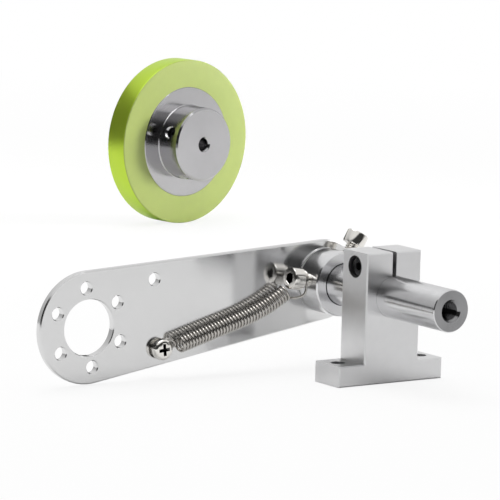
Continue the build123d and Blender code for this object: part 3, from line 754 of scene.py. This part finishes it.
@dataclass(frozen=True)
class ScrewHead:
    """Outer end of a screw above its seat at height zero; what it has no use for is left at its default."""

    LIP = 0.12
    KNEE_SHARE = 0.3
    # painted shade on the socket's wall, floor and tip
    SOCKET_SHADES = (0.85, 0.95, 1.0)
    TIP_SHARES = (1.0 / 6.0, 1.0 / 12.0)
    END_SHARES = (0.3, 1.05, 0.95)
    PAN_LIP = 0.1
    CROWN_SHARE = 0.42
    CROWN_STEPS = 6
    CROWN_TURN = 70.0
    CROWN_INWARD = 1.25
    CROSS_CORNER = 15.0
    CROSS_SHARES = (1.06, 0.62, 0.12)
    CROSS_DEPTH_SHARE = 0.8
    # painted shade on the cross recess's wall and foot
    CROSS_SHADES = (0.9, 1.0)
    HEXAGON_SHARES = (0.95, 1.02, 0.92)
    CHAMFER_SHARE = 0.55
    ROUNDING = 1e-6

    drive: Drive
    height: float
    key: float
    diameter: float = 0.0
    depth: float = 0.0
    edge: float = 0.35
    washer: float = 0.0

    def mesh(self, name: str, root: float) -> Mesh:
        """Make the head, open underneath where the thread begins.

        Args:
            name: The mesh's name.
            root: Radius of the opening underneath.

        Returns:
            The head's mesh at the origin.
        """
        rings = {
            Drive.HEX_SOCKET: self.socket_rings,
            Drive.SET_SOCKET: self.end_rings,
            Drive.CROSS: self.cross_rings,
            Drive.HEXAGON: self.hexagon_rings,
        }[self.drive]()
        return Bench.turned(name, [Ring(0.0, root), *rings], (False, True))

    def hexagon(self, flats: float) -> Callable[[float], float]:
        """Outline of a hexagon by its width across flats: the distance from the middle at an angle."""
        sector = math.tau / 6
        return lambda angle: flats / 2 / math.cos((angle + sector / 2) % sector - sector / 2)

    def cross(self, half_length: float) -> Callable[[float], float]:
        """Outline of a cross.

        Args:
            half_length: Distance from the middle to the end of an arm.

        Returns:
            The distance from the middle to the outline, by the angle.
        """
        quarter = math.tau / 4
        corner = math.radians(self.CROSS_CORNER)
        half_width = half_length * math.tan(corner)

        def reach(angle: float) -> float:
            """Measure to the end of an arm of the cross, or to the side of one.

            Args:
                angle: Direction from the middle, in radians.

            Returns:
                The distance from the middle.
            """
            turned = abs((angle + quarter / 2) % quarter - quarter / 2)
            at_end = turned <= corner + self.ROUNDING
            return half_length / math.cos(turned) if at_end else half_width / math.sin(turned)

        return reach

    def socket_rings(self) -> list[Ring]:
        """Rings of a cap head with a hexagon socket.

        Returns:
            The rings from the seat to the tip of the socket.
        """
        radius, floor = self.diameter / 2, self.height - self.depth
        knee = self.edge * self.KNEE_SHARE
        wall_shade, floor_shade, tip_shade = self.SOCKET_SHADES
        tip_depth, tip_radius = (self.key * share for share in self.TIP_SHARES)
        return [
            Ring(0.0, radius - self.LIP),
            Ring(self.LIP, radius),
            Ring(self.height - self.edge, radius),
            Ring(self.height - knee, radius - knee),
            Ring(self.height, radius - self.edge),
            Ring(self.height, self.hexagon(self.key + 2 * self.LIP)),
            Ring(self.height - self.LIP, self.hexagon(self.key), wall_shade),
            Ring(floor, self.hexagon(self.key), floor_shade),
            Ring(floor - tip_depth, tip_radius, tip_shade),
        ]

    def end_rings(self) -> list[Ring]:
        """Rings of a headless screw's end: its chamfer and hexagon socket.

        Returns:
            The rings from the thread to the tip of the socket.
        """
        radius, floor = self.diameter / 2, self.height - self.depth
        shoulder, wide, narrow = self.END_SHARES
        tip_depth, tip_radius = (self.key * share for share in self.TIP_SHARES)
        return [
            Ring(self.height * shoulder, radius * wide),
            Ring(self.height, radius * narrow),
            Ring(self.height, self.hexagon(self.key)),
            Ring(floor, self.hexagon(self.key)),
            Ring(floor - tip_depth, tip_radius),
        ]

    def cross_rings(self) -> list[Ring]:
        """Rings of a pan head with a tapered cross recess.

        Returns:
            The rings from the seat to the tip of the recess.
        """
        radius, half = self.diameter / 2, self.key / 2
        crown = self.height * self.CROWN_SHARE
        flank = self.height - crown
        full = math.radians(self.CROWN_TURN)
        rings = [Ring(0.0, radius - self.PAN_LIP), Ring(self.PAN_LIP, radius), Ring(flank, radius)]
        for step in range(1, self.CROWN_STEPS + 1):
            turned = full * step / self.CROWN_STEPS
            inward = crown * self.CROWN_INWARD * (1.0 - math.cos(turned))
            rings.append(Ring(flank + crown * math.sin(turned) / math.sin(full), radius - inward))
        mouth, foot, tip = (half * share for share in self.CROSS_SHARES)
        wall_shade, foot_shade = self.CROSS_SHADES
        return rings + [
            Ring(self.height, self.cross(mouth)),
            Ring(self.height - self.PAN_LIP, self.cross(half), wall_shade),
            Ring(self.height - self.depth * self.CROSS_DEPTH_SHARE, self.cross(foot), foot_shade),
            Ring(self.height - self.depth, tip, foot_shade),
        ]

    def hexagon_rings(self) -> list[Ring]:
        """Rings of a hexagon head with the round chamfer of its outer face.

        Returns:
            The rings from the seat to the outer face.
        """
        half = self.key / 2
        hexagon = self.hexagon(self.key)
        drop = (self.key / math.sqrt(3.0) - half) * self.CHAMFER_SHARE
        seat, eased, face = (half * share for share in self.HEXAGON_SHARES)
        return [
            Ring(0.0, seat),
            Ring(self.washer, seat),
            Ring(self.washer, hexagon),
            Ring(self.height - drop, hexagon),
            Ring(self.height, lambda angle: min(hexagon(angle), eased)),
            Ring(self.height, face),
        ]


class SubAssembly:
    """Pieces that go together: one node of threaded pieces made anew, and solids that keep their shape."""

    node: ClassVar[str]
    body: ClassVar[str]
    finish: ClassVar[Finish]
    kept: ClassVar[dict[str, Finish]] = {}
    ending: ClassVar[str] = "_threaded"
    head: ScrewHead
    thread: Thread

    def places(self) -> list[Matrix]:
        """Where each copy goes, with its thread running down from there."""
        raise NotImplementedError

    def start(self) -> Mesh:
        """Everything but the thread, open where the thread begins."""
        return self.head.mesh(self.node + "_head", self.thread.root)

    def build(self, screws: ScrewTree) -> None:
        """Make the threaded pieces as one and let them take the place of their solid.

        Args:
            screws: The tree that cuts threads.
        """
        material = self.finish.material(self.node + "_finish")
        mesh = screws.cut(self.start(), self.thread, self.places(), self.node + self.ending, material)
        made = Bench.piece(mesh, material)
        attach(made, self.body)
        Bench.stand_for(made, self.node, self.finish)

    def dress(self) -> None:
        """Give the solids that keep their shape their finishes."""
        for node, finish in self.kept.items():
            Bench.dress(node, finish)


@dataclass
class ClampBlock(SubAssembly):
    """Block that stands on the base and grips the shaft with a screw across its slit."""

    node, body, finish = "clamp_screw", "bracket", BLACKENED_SCREW
    kept = {"support_block": SATIN_BLOCK}
    seat_x: float = -7.0
    screw_height: float = 44.2
    head: ScrewHead = ScrewHead(Drive.HEX_SOCKET, height=4.0, key=3.0, diameter=7.0, depth=2.0)
    thread: Thread = Thread(1.62, 2.0, 0.7, 16.0)

    def places(self) -> list[Matrix]:
        """Where the clamp screw's head sits."""
        return [Bench.upright(Vector((self.seat_x, 0.0, self.screw_height)), -RIGHT, BACK)]


@dataclass
class PivotShaft(SubAssembly):
    """Ground shaft with a tapped hole in its free end and a journal for the arm at the other."""

    node, body, finish = "pivot_shaft", "bracket", GROUND_SHAFT
    ending = "_tapped"
    front: float = -44.0
    radius: float = 8.0
    edge: float = 0.3
    shoulder: float = 80.5
    length: float = 85.2
    journal_radius: float = 5.0
    rear_tap_radius: float = 3.05
    rear_tap_depth: float = 18.0
    mouth_radius: float = 4.4
    # painted shade on the end face and its countersink, and in the tapped hole's thread
    end_shade: float = 0.6
    thread: Thread = Thread(3.4, 4.0, 1.25, 19.0, 2.0, 0.93)

    def mouth(self) -> float:
        """Depth of the tapped hole's countersink."""
        return self.mouth_radius - self.thread.root

    def places(self) -> list[Matrix]:
        """Where the thread begins, at the foot of the countersink."""
        return [Bench.upright(Vector((0.0, self.front + self.mouth(), SHAFT_HEIGHT)), -BACK, RIGHT)]

    def start(self) -> Mesh:
        """Turn the bar, from the bottom of its rear hole to the foot of the countersink.

        Returns:
            The bar, open where the thread begins.
        """
        face = self.mouth()
        rings = [
            Ring(face + self.rear_tap_depth - self.length, self.rear_tap_radius),
            Ring(face - self.length, self.rear_tap_radius),
            Ring(face - self.length, self.journal_radius),
            Ring(face - self.shoulder, self.journal_radius),
            Ring(face - self.shoulder, self.radius),
            Ring(face - self.edge, self.radius),
            # painted shade on the end face and the countersink
            Ring(face, self.radius - self.edge, self.end_shade),
            Ring(face, self.mouth_radius, self.end_shade),
            Ring(0.0, self.thread.root),
        ]
        return Bench.turned("shaft_bar", rings, (True, False))


@dataclass
class SpringCollar(SubAssembly):
    """Collar on the shaft whose two cap screws lock it and carry the spring's fixed loop."""

    node, body, finish = "collar_screws", "bracket", PLATED_SCREW
    kept = {"spring_collar": TURNED_COLLAR, "thrust_washer": SLIDING_PLASTIC}
    middle: float = 30.5
    seat_radius: float = 16.3
    screw_angles: tuple[float, ...] = (8.0, 120.0)
    head: ScrewHead = ScrewHead(Drive.HEX_SOCKET, height=5.0, key=4.0, diameter=8.5, depth=2.5, edge=0.45)
    thread: Thread = Thread(2.08, 2.5, 0.8, 8.2)

    def ray(self, angle: float) -> Vector:
        """Direction away from the shaft, counted from the arm's side upwards."""
        turn = math.radians(angle)
        return Vector((-math.cos(turn), 0.0, math.sin(turn)))

    def places(self) -> list[Matrix]:
        """Find where the two heads sit.

        Returns:
            The places.
        """
        centre = Vector((0.0, self.middle, SHAFT_HEIGHT))
        rays = [self.ray(angle) for angle in self.screw_angles]
        return [Bench.upright(centre + ray * self.seat_radius, ray, BACK) for ray in rays]


@dataclass
class RearFastening(SubAssembly):
    """Washers and hexagon screw that keep the arm on its journal."""

    node, body, finish = "rear_screw", "bracket", PLATED_SCREW
    kept = {"rear_washer": PLATED_SCREW, "rear_lock_washer": PLATED_SCREW}
    seat: float = 44.4
    head: ScrewHead = ScrewHead(Drive.HEXAGON, height=4.0, key=10.0, washer=0.2)
    thread: Thread = Thread(2.5, 2.98, 1.0, 16.0)

    def places(self) -> list[Matrix]:
        """Where the head sits on its washers."""
        return [Bench.upright(Vector((0.0, self.seat, SHAFT_HEIGHT)), BACK, UP)]


@dataclass
class SwingArm(SubAssembly):
    """Polished plate with its bush, and the screw, washer and nut that hold the spring's moving loop."""

    node, body, finish = "anchor_screw", "arm", PLATED_SCREW
    kept = {
        "swing_arm": POLISHED_PLATE, "arm_bush": OILED_BRONZE,
        "anchor_washer": PLATED_SCREW, "anchor_nut": PLATED_SCREW,
    }
    face: float = 37.1
    hook_gap: float = 1.1
    head: ScrewHead = ScrewHead(Drive.CROSS, height=2.9, key=4.6, diameter=8.0, depth=1.6)
    thread: Thread = Thread(1.62, 1.98, 0.7, 8.9)

    def anchor(self) -> Vector:
        """Find the middle of the anchor screw's seat from the solid's own place in the frame.

        Returns:
            The middle, in millimetres.
        """
        low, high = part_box("anchor_screw")
        middle = (low + high) / 2 / METRES_PER_MM
        return Vector((middle.x, self.face - self.hook_gap, middle.z))

    def places(self) -> list[Matrix]:
        """Where the head sits, with its cross in line with the arm."""
        lean = math.radians(ARM_TILT)
        return [Bench.upright(self.anchor(), -BACK, Vector((math.cos(lean), 0.0, math.sin(lean))))]


class CoilLine:
    """Middle line of the coil: a straight run from the anchor, then one wide bend to the collar."""

    def __init__(self, first: Vector, corner: Vector, last: Vector, lead: float, bend_share: float) -> None:
        """Lay the line out.

        Args:
            first: Point beside the anchor screw.
            corner: Where the two straight runs would meet.
            last: Point beside the collar screw's head.
            lead: Length at the anchor that has no coils.
            bend_share: Share of the last run that the bend takes up.
        """
        self.way = (corner - first).normalized()
        end_way = (last - corner).normalized()
        turn = self.way.angle(end_way)
        cut = (last - corner).length * bend_share
        self.radius = cut / math.tan(turn / 2)
        self.start = first + self.way * lead
        self.straight = (corner - self.start).length - cut
        self.bend = self.radius * turn
        self.length = self.straight + self.bend + (last - corner).length - cut

    def at(self, place: float) -> tuple[Vector, Vector, Vector, float]:
        """Find the line at a distance from the first coil.

        Args:
            place: The distance along the line.

        Returns:
            The point, the direction, the upward normal and the curvature there.
        """
        turned = min(max(place - self.straight, 0.0), self.bend) / self.radius
        side = Vector((-self.way.z, 0.0, self.way.x))
        along = self.way * math.cos(turned) + side * math.sin(turned)
        point = self.start + self.way * (min(place, self.straight) + self.radius * math.sin(turned))
        point += side * (self.radius * (1.0 - math.cos(turned)))
        point += along * max(place - self.straight - self.bend, 0.0)
        bent = self.straight < place < self.straight + self.bend
        up = Vector((-along.z, 0.0, along.x))
        return point, along, up, 1.0 / self.radius if bent else 0.0


@dataclass
class TensionSpring:
    """Wound spring of one wire with a loop at each end, between the arm and the collar."""

    NAME = "tension_spring_wound"
    STRAIGHT_TURN = 1e-4

    collar: SpringCollar
    arm: SwingArm
    wire_radius: float = 0.5
    outer_diameter: float = 6.6
    pitch: float = 1.4
    standoff: float = 4.2
    lead: float = 6.4
    sag: float = 2.7
    corner_share: float = 0.8
    bend_share: float = 0.95
    end_inset: float = 0.9
    end_drop: float = 1.35
    loop_clearance: float = 0.15
    screw_loop_gap: float = 0.7
    leg: float = 4.0
    anchor_loop: tuple[float, ...] = (-30.0, -90.0, -180.0, -270.0)
    screw_loop: tuple[float, ...] = (180.0, 90.0, 0.0, -50.0)
    anchor_shank: float = 2.0
    screw_shank: float = 2.5
    sides: int = 14
    steps: int = 7
    fixed_shares: Span = (0.14, 0.9)

    def line(self) -> CoilLine:
        """Lay out the middle line of the coil, from the anchor to the fixed screw.

        Returns:
            The line.
        """
        anchor = self.arm.anchor()
        first = Vector((anchor.x, self.arm.face - self.standoff, anchor.z))
        ray = self.collar.ray(self.collar.screw_angles[0])
        below = Vector((-ray.z, 0.0, ray.x))
        drop = self.collar.head.diameter / 2 + self.end_drop
        reach = self.collar.seat_radius + self.collar.head.height - self.end_inset
        last = Vector((0.0, first.y, SHAFT_HEIGHT)) + ray * reach + below * drop
        chord = last - first
        sag = Vector((chord.z, 0.0, -chord.x)).normalized() * self.sag
        return CoilLine(first, first + chord * self.corner_share + sag, last, self.lead, self.bend_share)

    def coil(self, line: CoilLine) -> list[Knot]:
        """Wind the coil.

        Args:
            line: Its middle line.

        Returns:
            The wire's point and direction at every quarter turn.
        """
        quarters = 4 * math.floor(line.length / self.pitch) + 1
        pitch = 4 * line.length / quarters
        radius = self.outer_diameter / 2 - self.wire_radius
        knots: list[Knot] = []
        for index in range(quarters + 1):
            angle = math.tau / 4 * (1 + index)
            point, along, up, curve = line.at(pitch * index / 4)
            across, high = math.cos(angle), math.sin(angle)
            spot = point + up * (radius * across) + BACK * (radius * high)
            advance = pitch / math.tau * (1.0 - curve * radius * across)
            way = along * advance + (BACK * across - up * high) * radius
            knots.append((spot, way.normalized()))
        return knots

    def loop(
        self, centre: Vector, right: Vector, up: Vector, shank: float, angles: Sequence[float]
    ) -> list[Knot]:
        """Bend a loop round a screw, clockwise.

        Args:
            centre: The loop's middle.
            right: Direction that angles are counted from.
            up: Direction that they are counted towards.
            shank: Radius of the screw's shank.
            angles: Where the loop's points lie.

        Returns:
            The wire's points and directions.
        """
        radius = shank + self.wire_radius + self.loop_clearance
        knots: list[Knot] = []
        for turn in map(math.radians, angles):
            across, high = math.cos(turn), math.sin(turn)
            spot = centre + right * (radius * across) + up * (radius * high)
            knots.append((spot, right * high - up * across))
        return knots

    def knots(self) -> list[Knot]:
        """Follow the whole wire, from the arm's loop to the fixed loop.

        Returns:
            Its points and directions, with a straight tail at each end.
        """
        line = self.line()
        anchor = self.arm.anchor() + BACK * (self.arm.hook_gap / 2)
        rise = Vector((-line.way.z, 0.0, line.way.x))
        moving = self.loop(anchor, line.way, rise, self.anchor_shank, self.anchor_loop)
        ray = self.collar.ray(self.collar.screw_angles[0])
        reach = self.collar.seat_radius - self.wire_radius - self.screw_loop_gap
        screw = Vector((0.0, self.collar.middle, SHAFT_HEIGHT)) + ray * reach
        upright = Vector((ray.z, 0.0, -ray.x))
        fixed = self.loop(screw, BACK, upright, self.screw_shank, self.screw_loop)
        leg = (fixed[0][0] - upright * self.leg, upright)
        tail = 2 * self.wire_radius
        (first, first_way), (last, last_way) = moving[0], fixed[-1]
        tails = (first - first_way * tail, first_way), (last + last_way * tail, last_way)
        return [tails[0], *moving, *self.coil(line), leg, *fixed, tails[1]]

    def curve(self, knots: Sequence[Knot]) -> Curve:
        """Draw a smooth curve that leaves each point along its direction.

        Args:
            knots: The wire's points and directions.

        Returns:
            The curve.
        """
        curve = bpy.data.curves.new("spring_wire_line", "CURVE")
        curve.dimensions = "3D"
        curve.resolution_u = self.steps
        points = curve.splines.new("BEZIER").bezier_points
        points.add(len(knots) - 1)
        for point, (spot, _) in zip(points, knots):
            point.handle_left_type = point.handle_right_type = "FREE"
            point.co = point.handle_left = point.handle_right = spot
        for index, ((start, way), (end, end_way)) in enumerate(zip(knots, knots[1:])):
            reach = self.handle(end - start, way.angle(end_way))
            points[index].handle_right = start + way * reach
            points[index + 1].handle_left = end - end_way * reach
        return curve

    def handle(self, chord: Vector, turn: float) -> float:
        """Length of a handle that makes the curve follow an arc.

        Args:
            chord: From one point to the next.
            turn: Angle between the two directions, in radians.

        Returns:
            The handle's length.
        """
        if turn < self.STRAIGHT_TURN:
            return chord.length / 3
        return 4 / 3 * math.tan(turn / 4) * chord.length / (2 * math.sin(turn / 2))

    def build(self, wires: WireTree) -> None:
        """Draw the wire between the arm and the bracket.

        Args:
            wires: The tree that draws wire.
        """
        material = DRAWN_WIRE.material("tension_spring_finish")
        knots = self.knots()
        inputs = {"Wire radius": self.wire_radius, "Sides": self.sides, "Material": material}
        made = Bench.piece(wires.bake(self.curve(knots), inputs, self.NAME), material)
        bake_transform(made)
        Bench.stand_for(made, "tension_spring", DRAWN_WIRE)


@dataclass
class MouldedTyre:
    """Tyre cast round the hub's rim, which fills the rim's chamfers and has rounded outer edges."""

    radius: float = 39.789
    width: float = 12.0
    rim_radius: float = 27.3
    rim_width: float = 12.6
    rim_chamfer: float = 1.0
    gap: float = 0.04
    edge_round: float = 0.7
    round_steps: int = 6

    def edge(self, side: float) -> list[Ring]:
        """Round one outer edge.

        Args:
            side: Plus one for the front edge and minus one for the rear edge.

        Returns:
            The rings from the side face to the running face.
        """
        rings: list[Ring] = []
        for step in range(self.round_steps + 1):
            turn = math.pi / 2 * step / self.round_steps
            height = self.width / 2 - self.edge_round * (1.0 - math.cos(turn))
            rings.append(Ring(side * height, self.radius - self.edge_round * (1.0 - math.sin(turn))))
        return rings

    def rings(self) -> list[Ring]:
        """Go once round the tyre's section.

        Returns:
            The rings from the bore's rear end back to it.
        """
        bore = self.rim_radius + self.gap
        shoulder = self.rim_width / 2 - self.rim_chamfer
        lip = bore - (self.width / 2 - shoulder)
        start = Ring(-shoulder, bore)
        rear = [start, Ring(-self.width / 2, lip), *self.edge(-1.0)]
        front = [*reversed(self.edge(1.0)), Ring(self.width / 2, lip), Ring(shoulder, bore)]
        return [*rear, *front, start]

    def build(self) -> None:
        """Cast the tyre about the wheel's axle."""
        mesh = Bench.turned("wheel_tyre_moulded", self.rings(), (False, False))
        mesh.transform(Bench.upright(Vector(WHEEL_AXLE.centre), Vector(WHEEL_AXLE.way), UP))
        made = Bench.piece(mesh, GREEN_TYRE.material("wheel_tyre_finish"))
        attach(made, "wheel")
        Bench.stand_for(made, "wheel_tyre", GREEN_TYRE)


@dataclass
class MeasuringWheel(SubAssembly):
    """Hub with its moulded tyre and the two set screws in its boss."""

    node, body, finish = "wheel_set_screws", "wheel", BLACKENED_SCREW
    kept = {"wheel_hub": SHADED_TURNED_HUB}
    boss_middle: float = 12.8
    tip_radius: float = 3.3
    screw_angles: tuple[float, ...] = (159.0, 249.0)
    head: ScrewHead = ScrewHead(Drive.SET_SOCKET, height=0.7, key=2.5, diameter=4.16, depth=2.5)
    # painted shade on the set screws' threads
    thread: Thread = Thread(2.08, 2.48, 0.8, 11.3, 0.3)
    tyre: MouldedTyre = field(default_factory=MouldedTyre)

    def places(self) -> list[Matrix]:
        """Find where the threads of the two set screws begin, near the boss's skin.

        Returns:
            The places.
        """
        centre, axle = Vector(WHEEL_AXLE.centre), Vector(WHEEL_AXLE.way)
        right = Vector((-axle.y, axle.x, 0.0))
        middle = centre + axle * self.boss_middle
        top = self.tip_radius + self.thread.length
        ways = [right * math.cos(turn) + UP * math.sin(turn) for turn in map(math.radians, self.screw_angles)]
        return [Bench.upright(middle + way * top, way, axle) for way in ways]

    def build(self, screws: ScrewTree) -> None:
        """Cast the tyre and make both set screws as one piece."""
        self.tyre.build()
        super().build(screws)


@dataclass(frozen=True)
class Card:
    """Upright card that only metal mirrors: where it stands, its edges, and its glow unless it is black."""

    BLACK = 0.012

    name: str
    place: Span
    low: float
    high: float
    width: float
    heading: float
    glow: float = 0.0

    def material(self) -> Material:
        """Make matt black paper, or evenly lit white paper.

        Returns:
            The card's material.
        """
        material = bpy.data.materials.new(self.name)
        sheet = NodeSheet.of(material)
        if self.glow:
            paper = sheet.make("ShaderNodeEmission", {"Strength": self.glow})
        else:
            paper = sheet.make("ShaderNodeBsdfDiffuse", {"Color": (self.BLACK, self.BLACK, self.BLACK, 1.0)})
        sheet.close("ShaderNodeOutputMaterial", paper)
        return material

    def build(self) -> None:
        """Stand the card up, seen by mirrored rays alone."""
        turn = math.radians(self.heading)
        side = Vector((math.cos(turn), math.sin(turn), 0.0)) * (self.width / 2)
        foot = Vector((*self.place, 0.0))
        low, high = UP * self.low, UP * self.high
        corners = [foot - side + low, foot + side + low, foot + side + high, foot - side + high]
        made = Bench.sheet(self.name, corners, self.material())
        made.visible_camera = made.visible_diffuse = False
        made.visible_transmission = made.visible_shadow = False


@dataclass(frozen=True)
class Lamp:
    """Soft square light: its place, target, size, power and beam, and whether metal mirrors it."""

    name: str
    place: Triple
    target: Triple
    size: float
    power: float
    beam: float = 180.0
    mirrored: bool = True

    def build(self) -> None:
        """Hang the light and turn it to its target."""
        data = bpy.data.lights.new(self.name, "AREA")
        data.shape = "SQUARE"
        data.size = self.size * METRES_PER_MM
        data.energy = self.power
        data.spread = math.radians(self.beam)
        made = Bench.show(self.name, data)
        place = Vector(self.place) * METRES_PER_MM
        aim = Vector(self.target) * METRES_PER_MM - place
        made.matrix_world = Matrix.Translation(place) @ aim.to_track_quat("-Z", "Y").to_matrix().to_4x4()
        made.visible_glossy = self.mirrored


@dataclass
class Studio:
    """Pale floor, room, soft lights, cards and the camera; levels are shares of white."""

    camera_place: Triple = (-828.9032, -1129.5679, 257.2578)
    yaw: float = 34.2292
    pitch: float = 8.4862
    roll: float = -1.5688
    focal_pixels: float = 3752.328
    frame_pixels: float = 500.0
    sensor: float = 36.0
    sight: float = 100000.0
    floor_reach: float = 8000.0
    floor_drop: float = 0.05
    floor_level: float = 0.93
    white_span: Span = (500.0, 1100.0)
    white_levels: Span = (0.85, 1.0)
    walls: tuple[Span, ...] = ((0.0, 0.42), (0.08, 0.54), (0.19, 0.72), (0.37, 0.82), (1.0, 0.75))
    dim_span: Span = (-0.15, 0.3)
    dim_height: Span = (0.6, 0.68)
    dim_level: float = 0.04
    lamps: tuple[Lamp, ...] = (
        Lamp("softbox", (-100.0, 350.0, 1400.0), (-100.0, 350.0, 0.0), 1100.0, 9.5),
        Lamp(
            "side_light", (1040.0, -150.0, 180.0), WHEEL_AXLE.centre, 300.0, 0.44, beam=24.0, mirrored=False
        ),
    )
    cards: tuple[Card, ...] = (
        Card("wheel_side_card", (75.0, 465.0), 30.0, 145.0, 420.0, 48.0),
        Card("wheel_front_card", (30.0, 200.0), 0.0, 60.0, 160.0, 34.0),
        Card("boss_light_card", (424.0, 77.0), 190.0, 430.0, 300.0, 33.0, glow=1.6),
    )

    def build(self) -> None:
        """Set the whole studio up."""
        scene = bpy.context.scene
        scene.view_settings.view_transform = "Standard"
        scene.camera = self.camera()
        self.floor()
        self.world()
        for thing in (*self.lamps, *self.cards):
            thing.build()
        LOG.info("studio is set, lens %.1f mm", scene.camera.data.lens)

    def camera(self) -> Object:
        """Make the camera at the photograph's view.

        Returns:
            The camera.
        """
        data = bpy.data.cameras.new("camera")
        data.sensor_width = self.sensor
        data.lens = self.focal_pixels * self.sensor / self.frame_pixels
        data.clip_end = self.sight * METRES_PER_MM
        yaw, pitch, roll = (math.radians(angle) for angle in (self.yaw, self.pitch, self.roll))
        forward = Vector((math.sin(yaw) * math.cos(pitch), math.cos(yaw) * math.cos(pitch), -math.sin(pitch)))
        level = Vector((math.cos(yaw), -math.sin(yaw), 0.0))
        down = forward.cross(level)
        right = level * math.cos(roll) + down * math.sin(roll)
        below = down * math.cos(roll) - level * math.sin(roll)
        turn = Matrix((right, -below, -forward)).transposed()
        place = [part * METRES_PER_MM for part in self.camera_place]
        made = Bench.show("camera", data)
        made.matrix_world = Matrix.Translation(place) @ turn.to_4x4()
        return made

    def floor(self) -> None:
        """Lay the pale floor, which keeps the shadows and is whiter to the camera farther away."""
        material = bpy.data.materials.new("floor_paper")
        sheet = NodeSheet.of(material)
        paper = sheet.make("ShaderNodeBsdfDiffuse", {"Color": (self.floor_level,) * 3 + (1.0,)})
        white = sheet.make("ShaderNodeEmission", {"Color": (1.0, 1.0, 1.0, 1.0), "Strength": 1.0})
        away = sheet.measure("LENGTH", sheet.add("ShaderNodeTexCoord").outputs["Object"])
        ends = (distance * METRES_PER_MM for distance in self.white_span)
        whiteness = sheet.ramp(away, *ends, *self.white_levels)
        camera = sheet.add("ShaderNodeLightPath").outputs["Is Camera Ray"]
        share = sheet.math("MULTIPLY", camera, whiteness)
        mix = sheet.make("ShaderNodeMixShader", {0: share, 1: paper, 2: white})
        sheet.close("ShaderNodeOutputMaterial", mix)
        corners = [
            Vector((x * self.floor_reach, y * self.floor_reach, -self.floor_drop))
            for x, y in ((-1, -1), (1, -1), (1, 1), (-1, 1))
        ]
        Bench.sheet("floor", corners, material)

    def world(self) -> None:
        """Make the room: white to the camera, and for light a pale backdrop with a dim camera side."""
        world = bpy.data.worlds.new("room")
        bpy.context.scene.world = world
        sheet = NodeSheet.of(world)
        way = sheet.add("ShaderNodeTexCoord").outputs["Generated"]
        height = sheet.add("ShaderNodeSeparateXYZ", {0: way}).outputs["Z"]
        yaw = math.radians(self.yaw)
        across = sheet.measure("DOT_PRODUCT", way, (math.cos(yaw), -math.sin(yaw), 0.0))
        facing = sheet.measure("DOT_PRODUCT", way, (-math.sin(yaw), -math.cos(yaw), 0.0))
        walls = sheet.add("ShaderNodeValToRGB", {"Fac": sheet.ramp(across, -1.0, 1.0, 0.0, 1.0)})
        stops = walls.color_ramp.elements
        stops[0].position, stops[1].position = self.walls[0][0], self.walls[-1][0]
        for position, _ in self.walls[1:-1]:
            stops.new(position)
        for stop, (_, level) in zip(stops, self.walls):
            stop.color = (level, level, level, 1.0)
        ahead = sheet.ramp(facing, *self.dim_span, 0.0, 1.0)
        under = sheet.ramp(height, *self.dim_height, 1.0, 0.0)
        dim = sheet.math("MULTIPLY", ahead, under)
        colour = sheet.mix(dim, walls.outputs["Color"], (self.dim_level,) * 3)
        room = sheet.make("ShaderNodeBackground", {"Color": colour, "Strength": 1.0})
        white = sheet.make("ShaderNodeBackground", {"Color": (1.0, 1.0, 1.0, 1.0), "Strength": 1.0})
        camera = sheet.add("ShaderNodeLightPath").outputs["Is Camera Ray"]
        mix = sheet.make("ShaderNodeMixShader", {0: camera, 1: room, 2: white})
        sheet.close("ShaderNodeOutputWorld", mix)


def main() -> None:
    """Build and dress every sub-assembly, then set the studio up."""
    logging.basicConfig(level=logging.INFO, format="%(name)s: %(message)s")
    screws = ScrewTree()
    collar = SpringCollar()
    arm = SwingArm()
    for part in (ClampBlock(), PivotShaft(), collar, RearFastening(), arm, MeasuringWheel()):
        part.build(screws)
        part.dress()
    TensionSpring(collar, arm).build(WireTree())
    Studio().build()


if __name__ == "__main__":
    main()
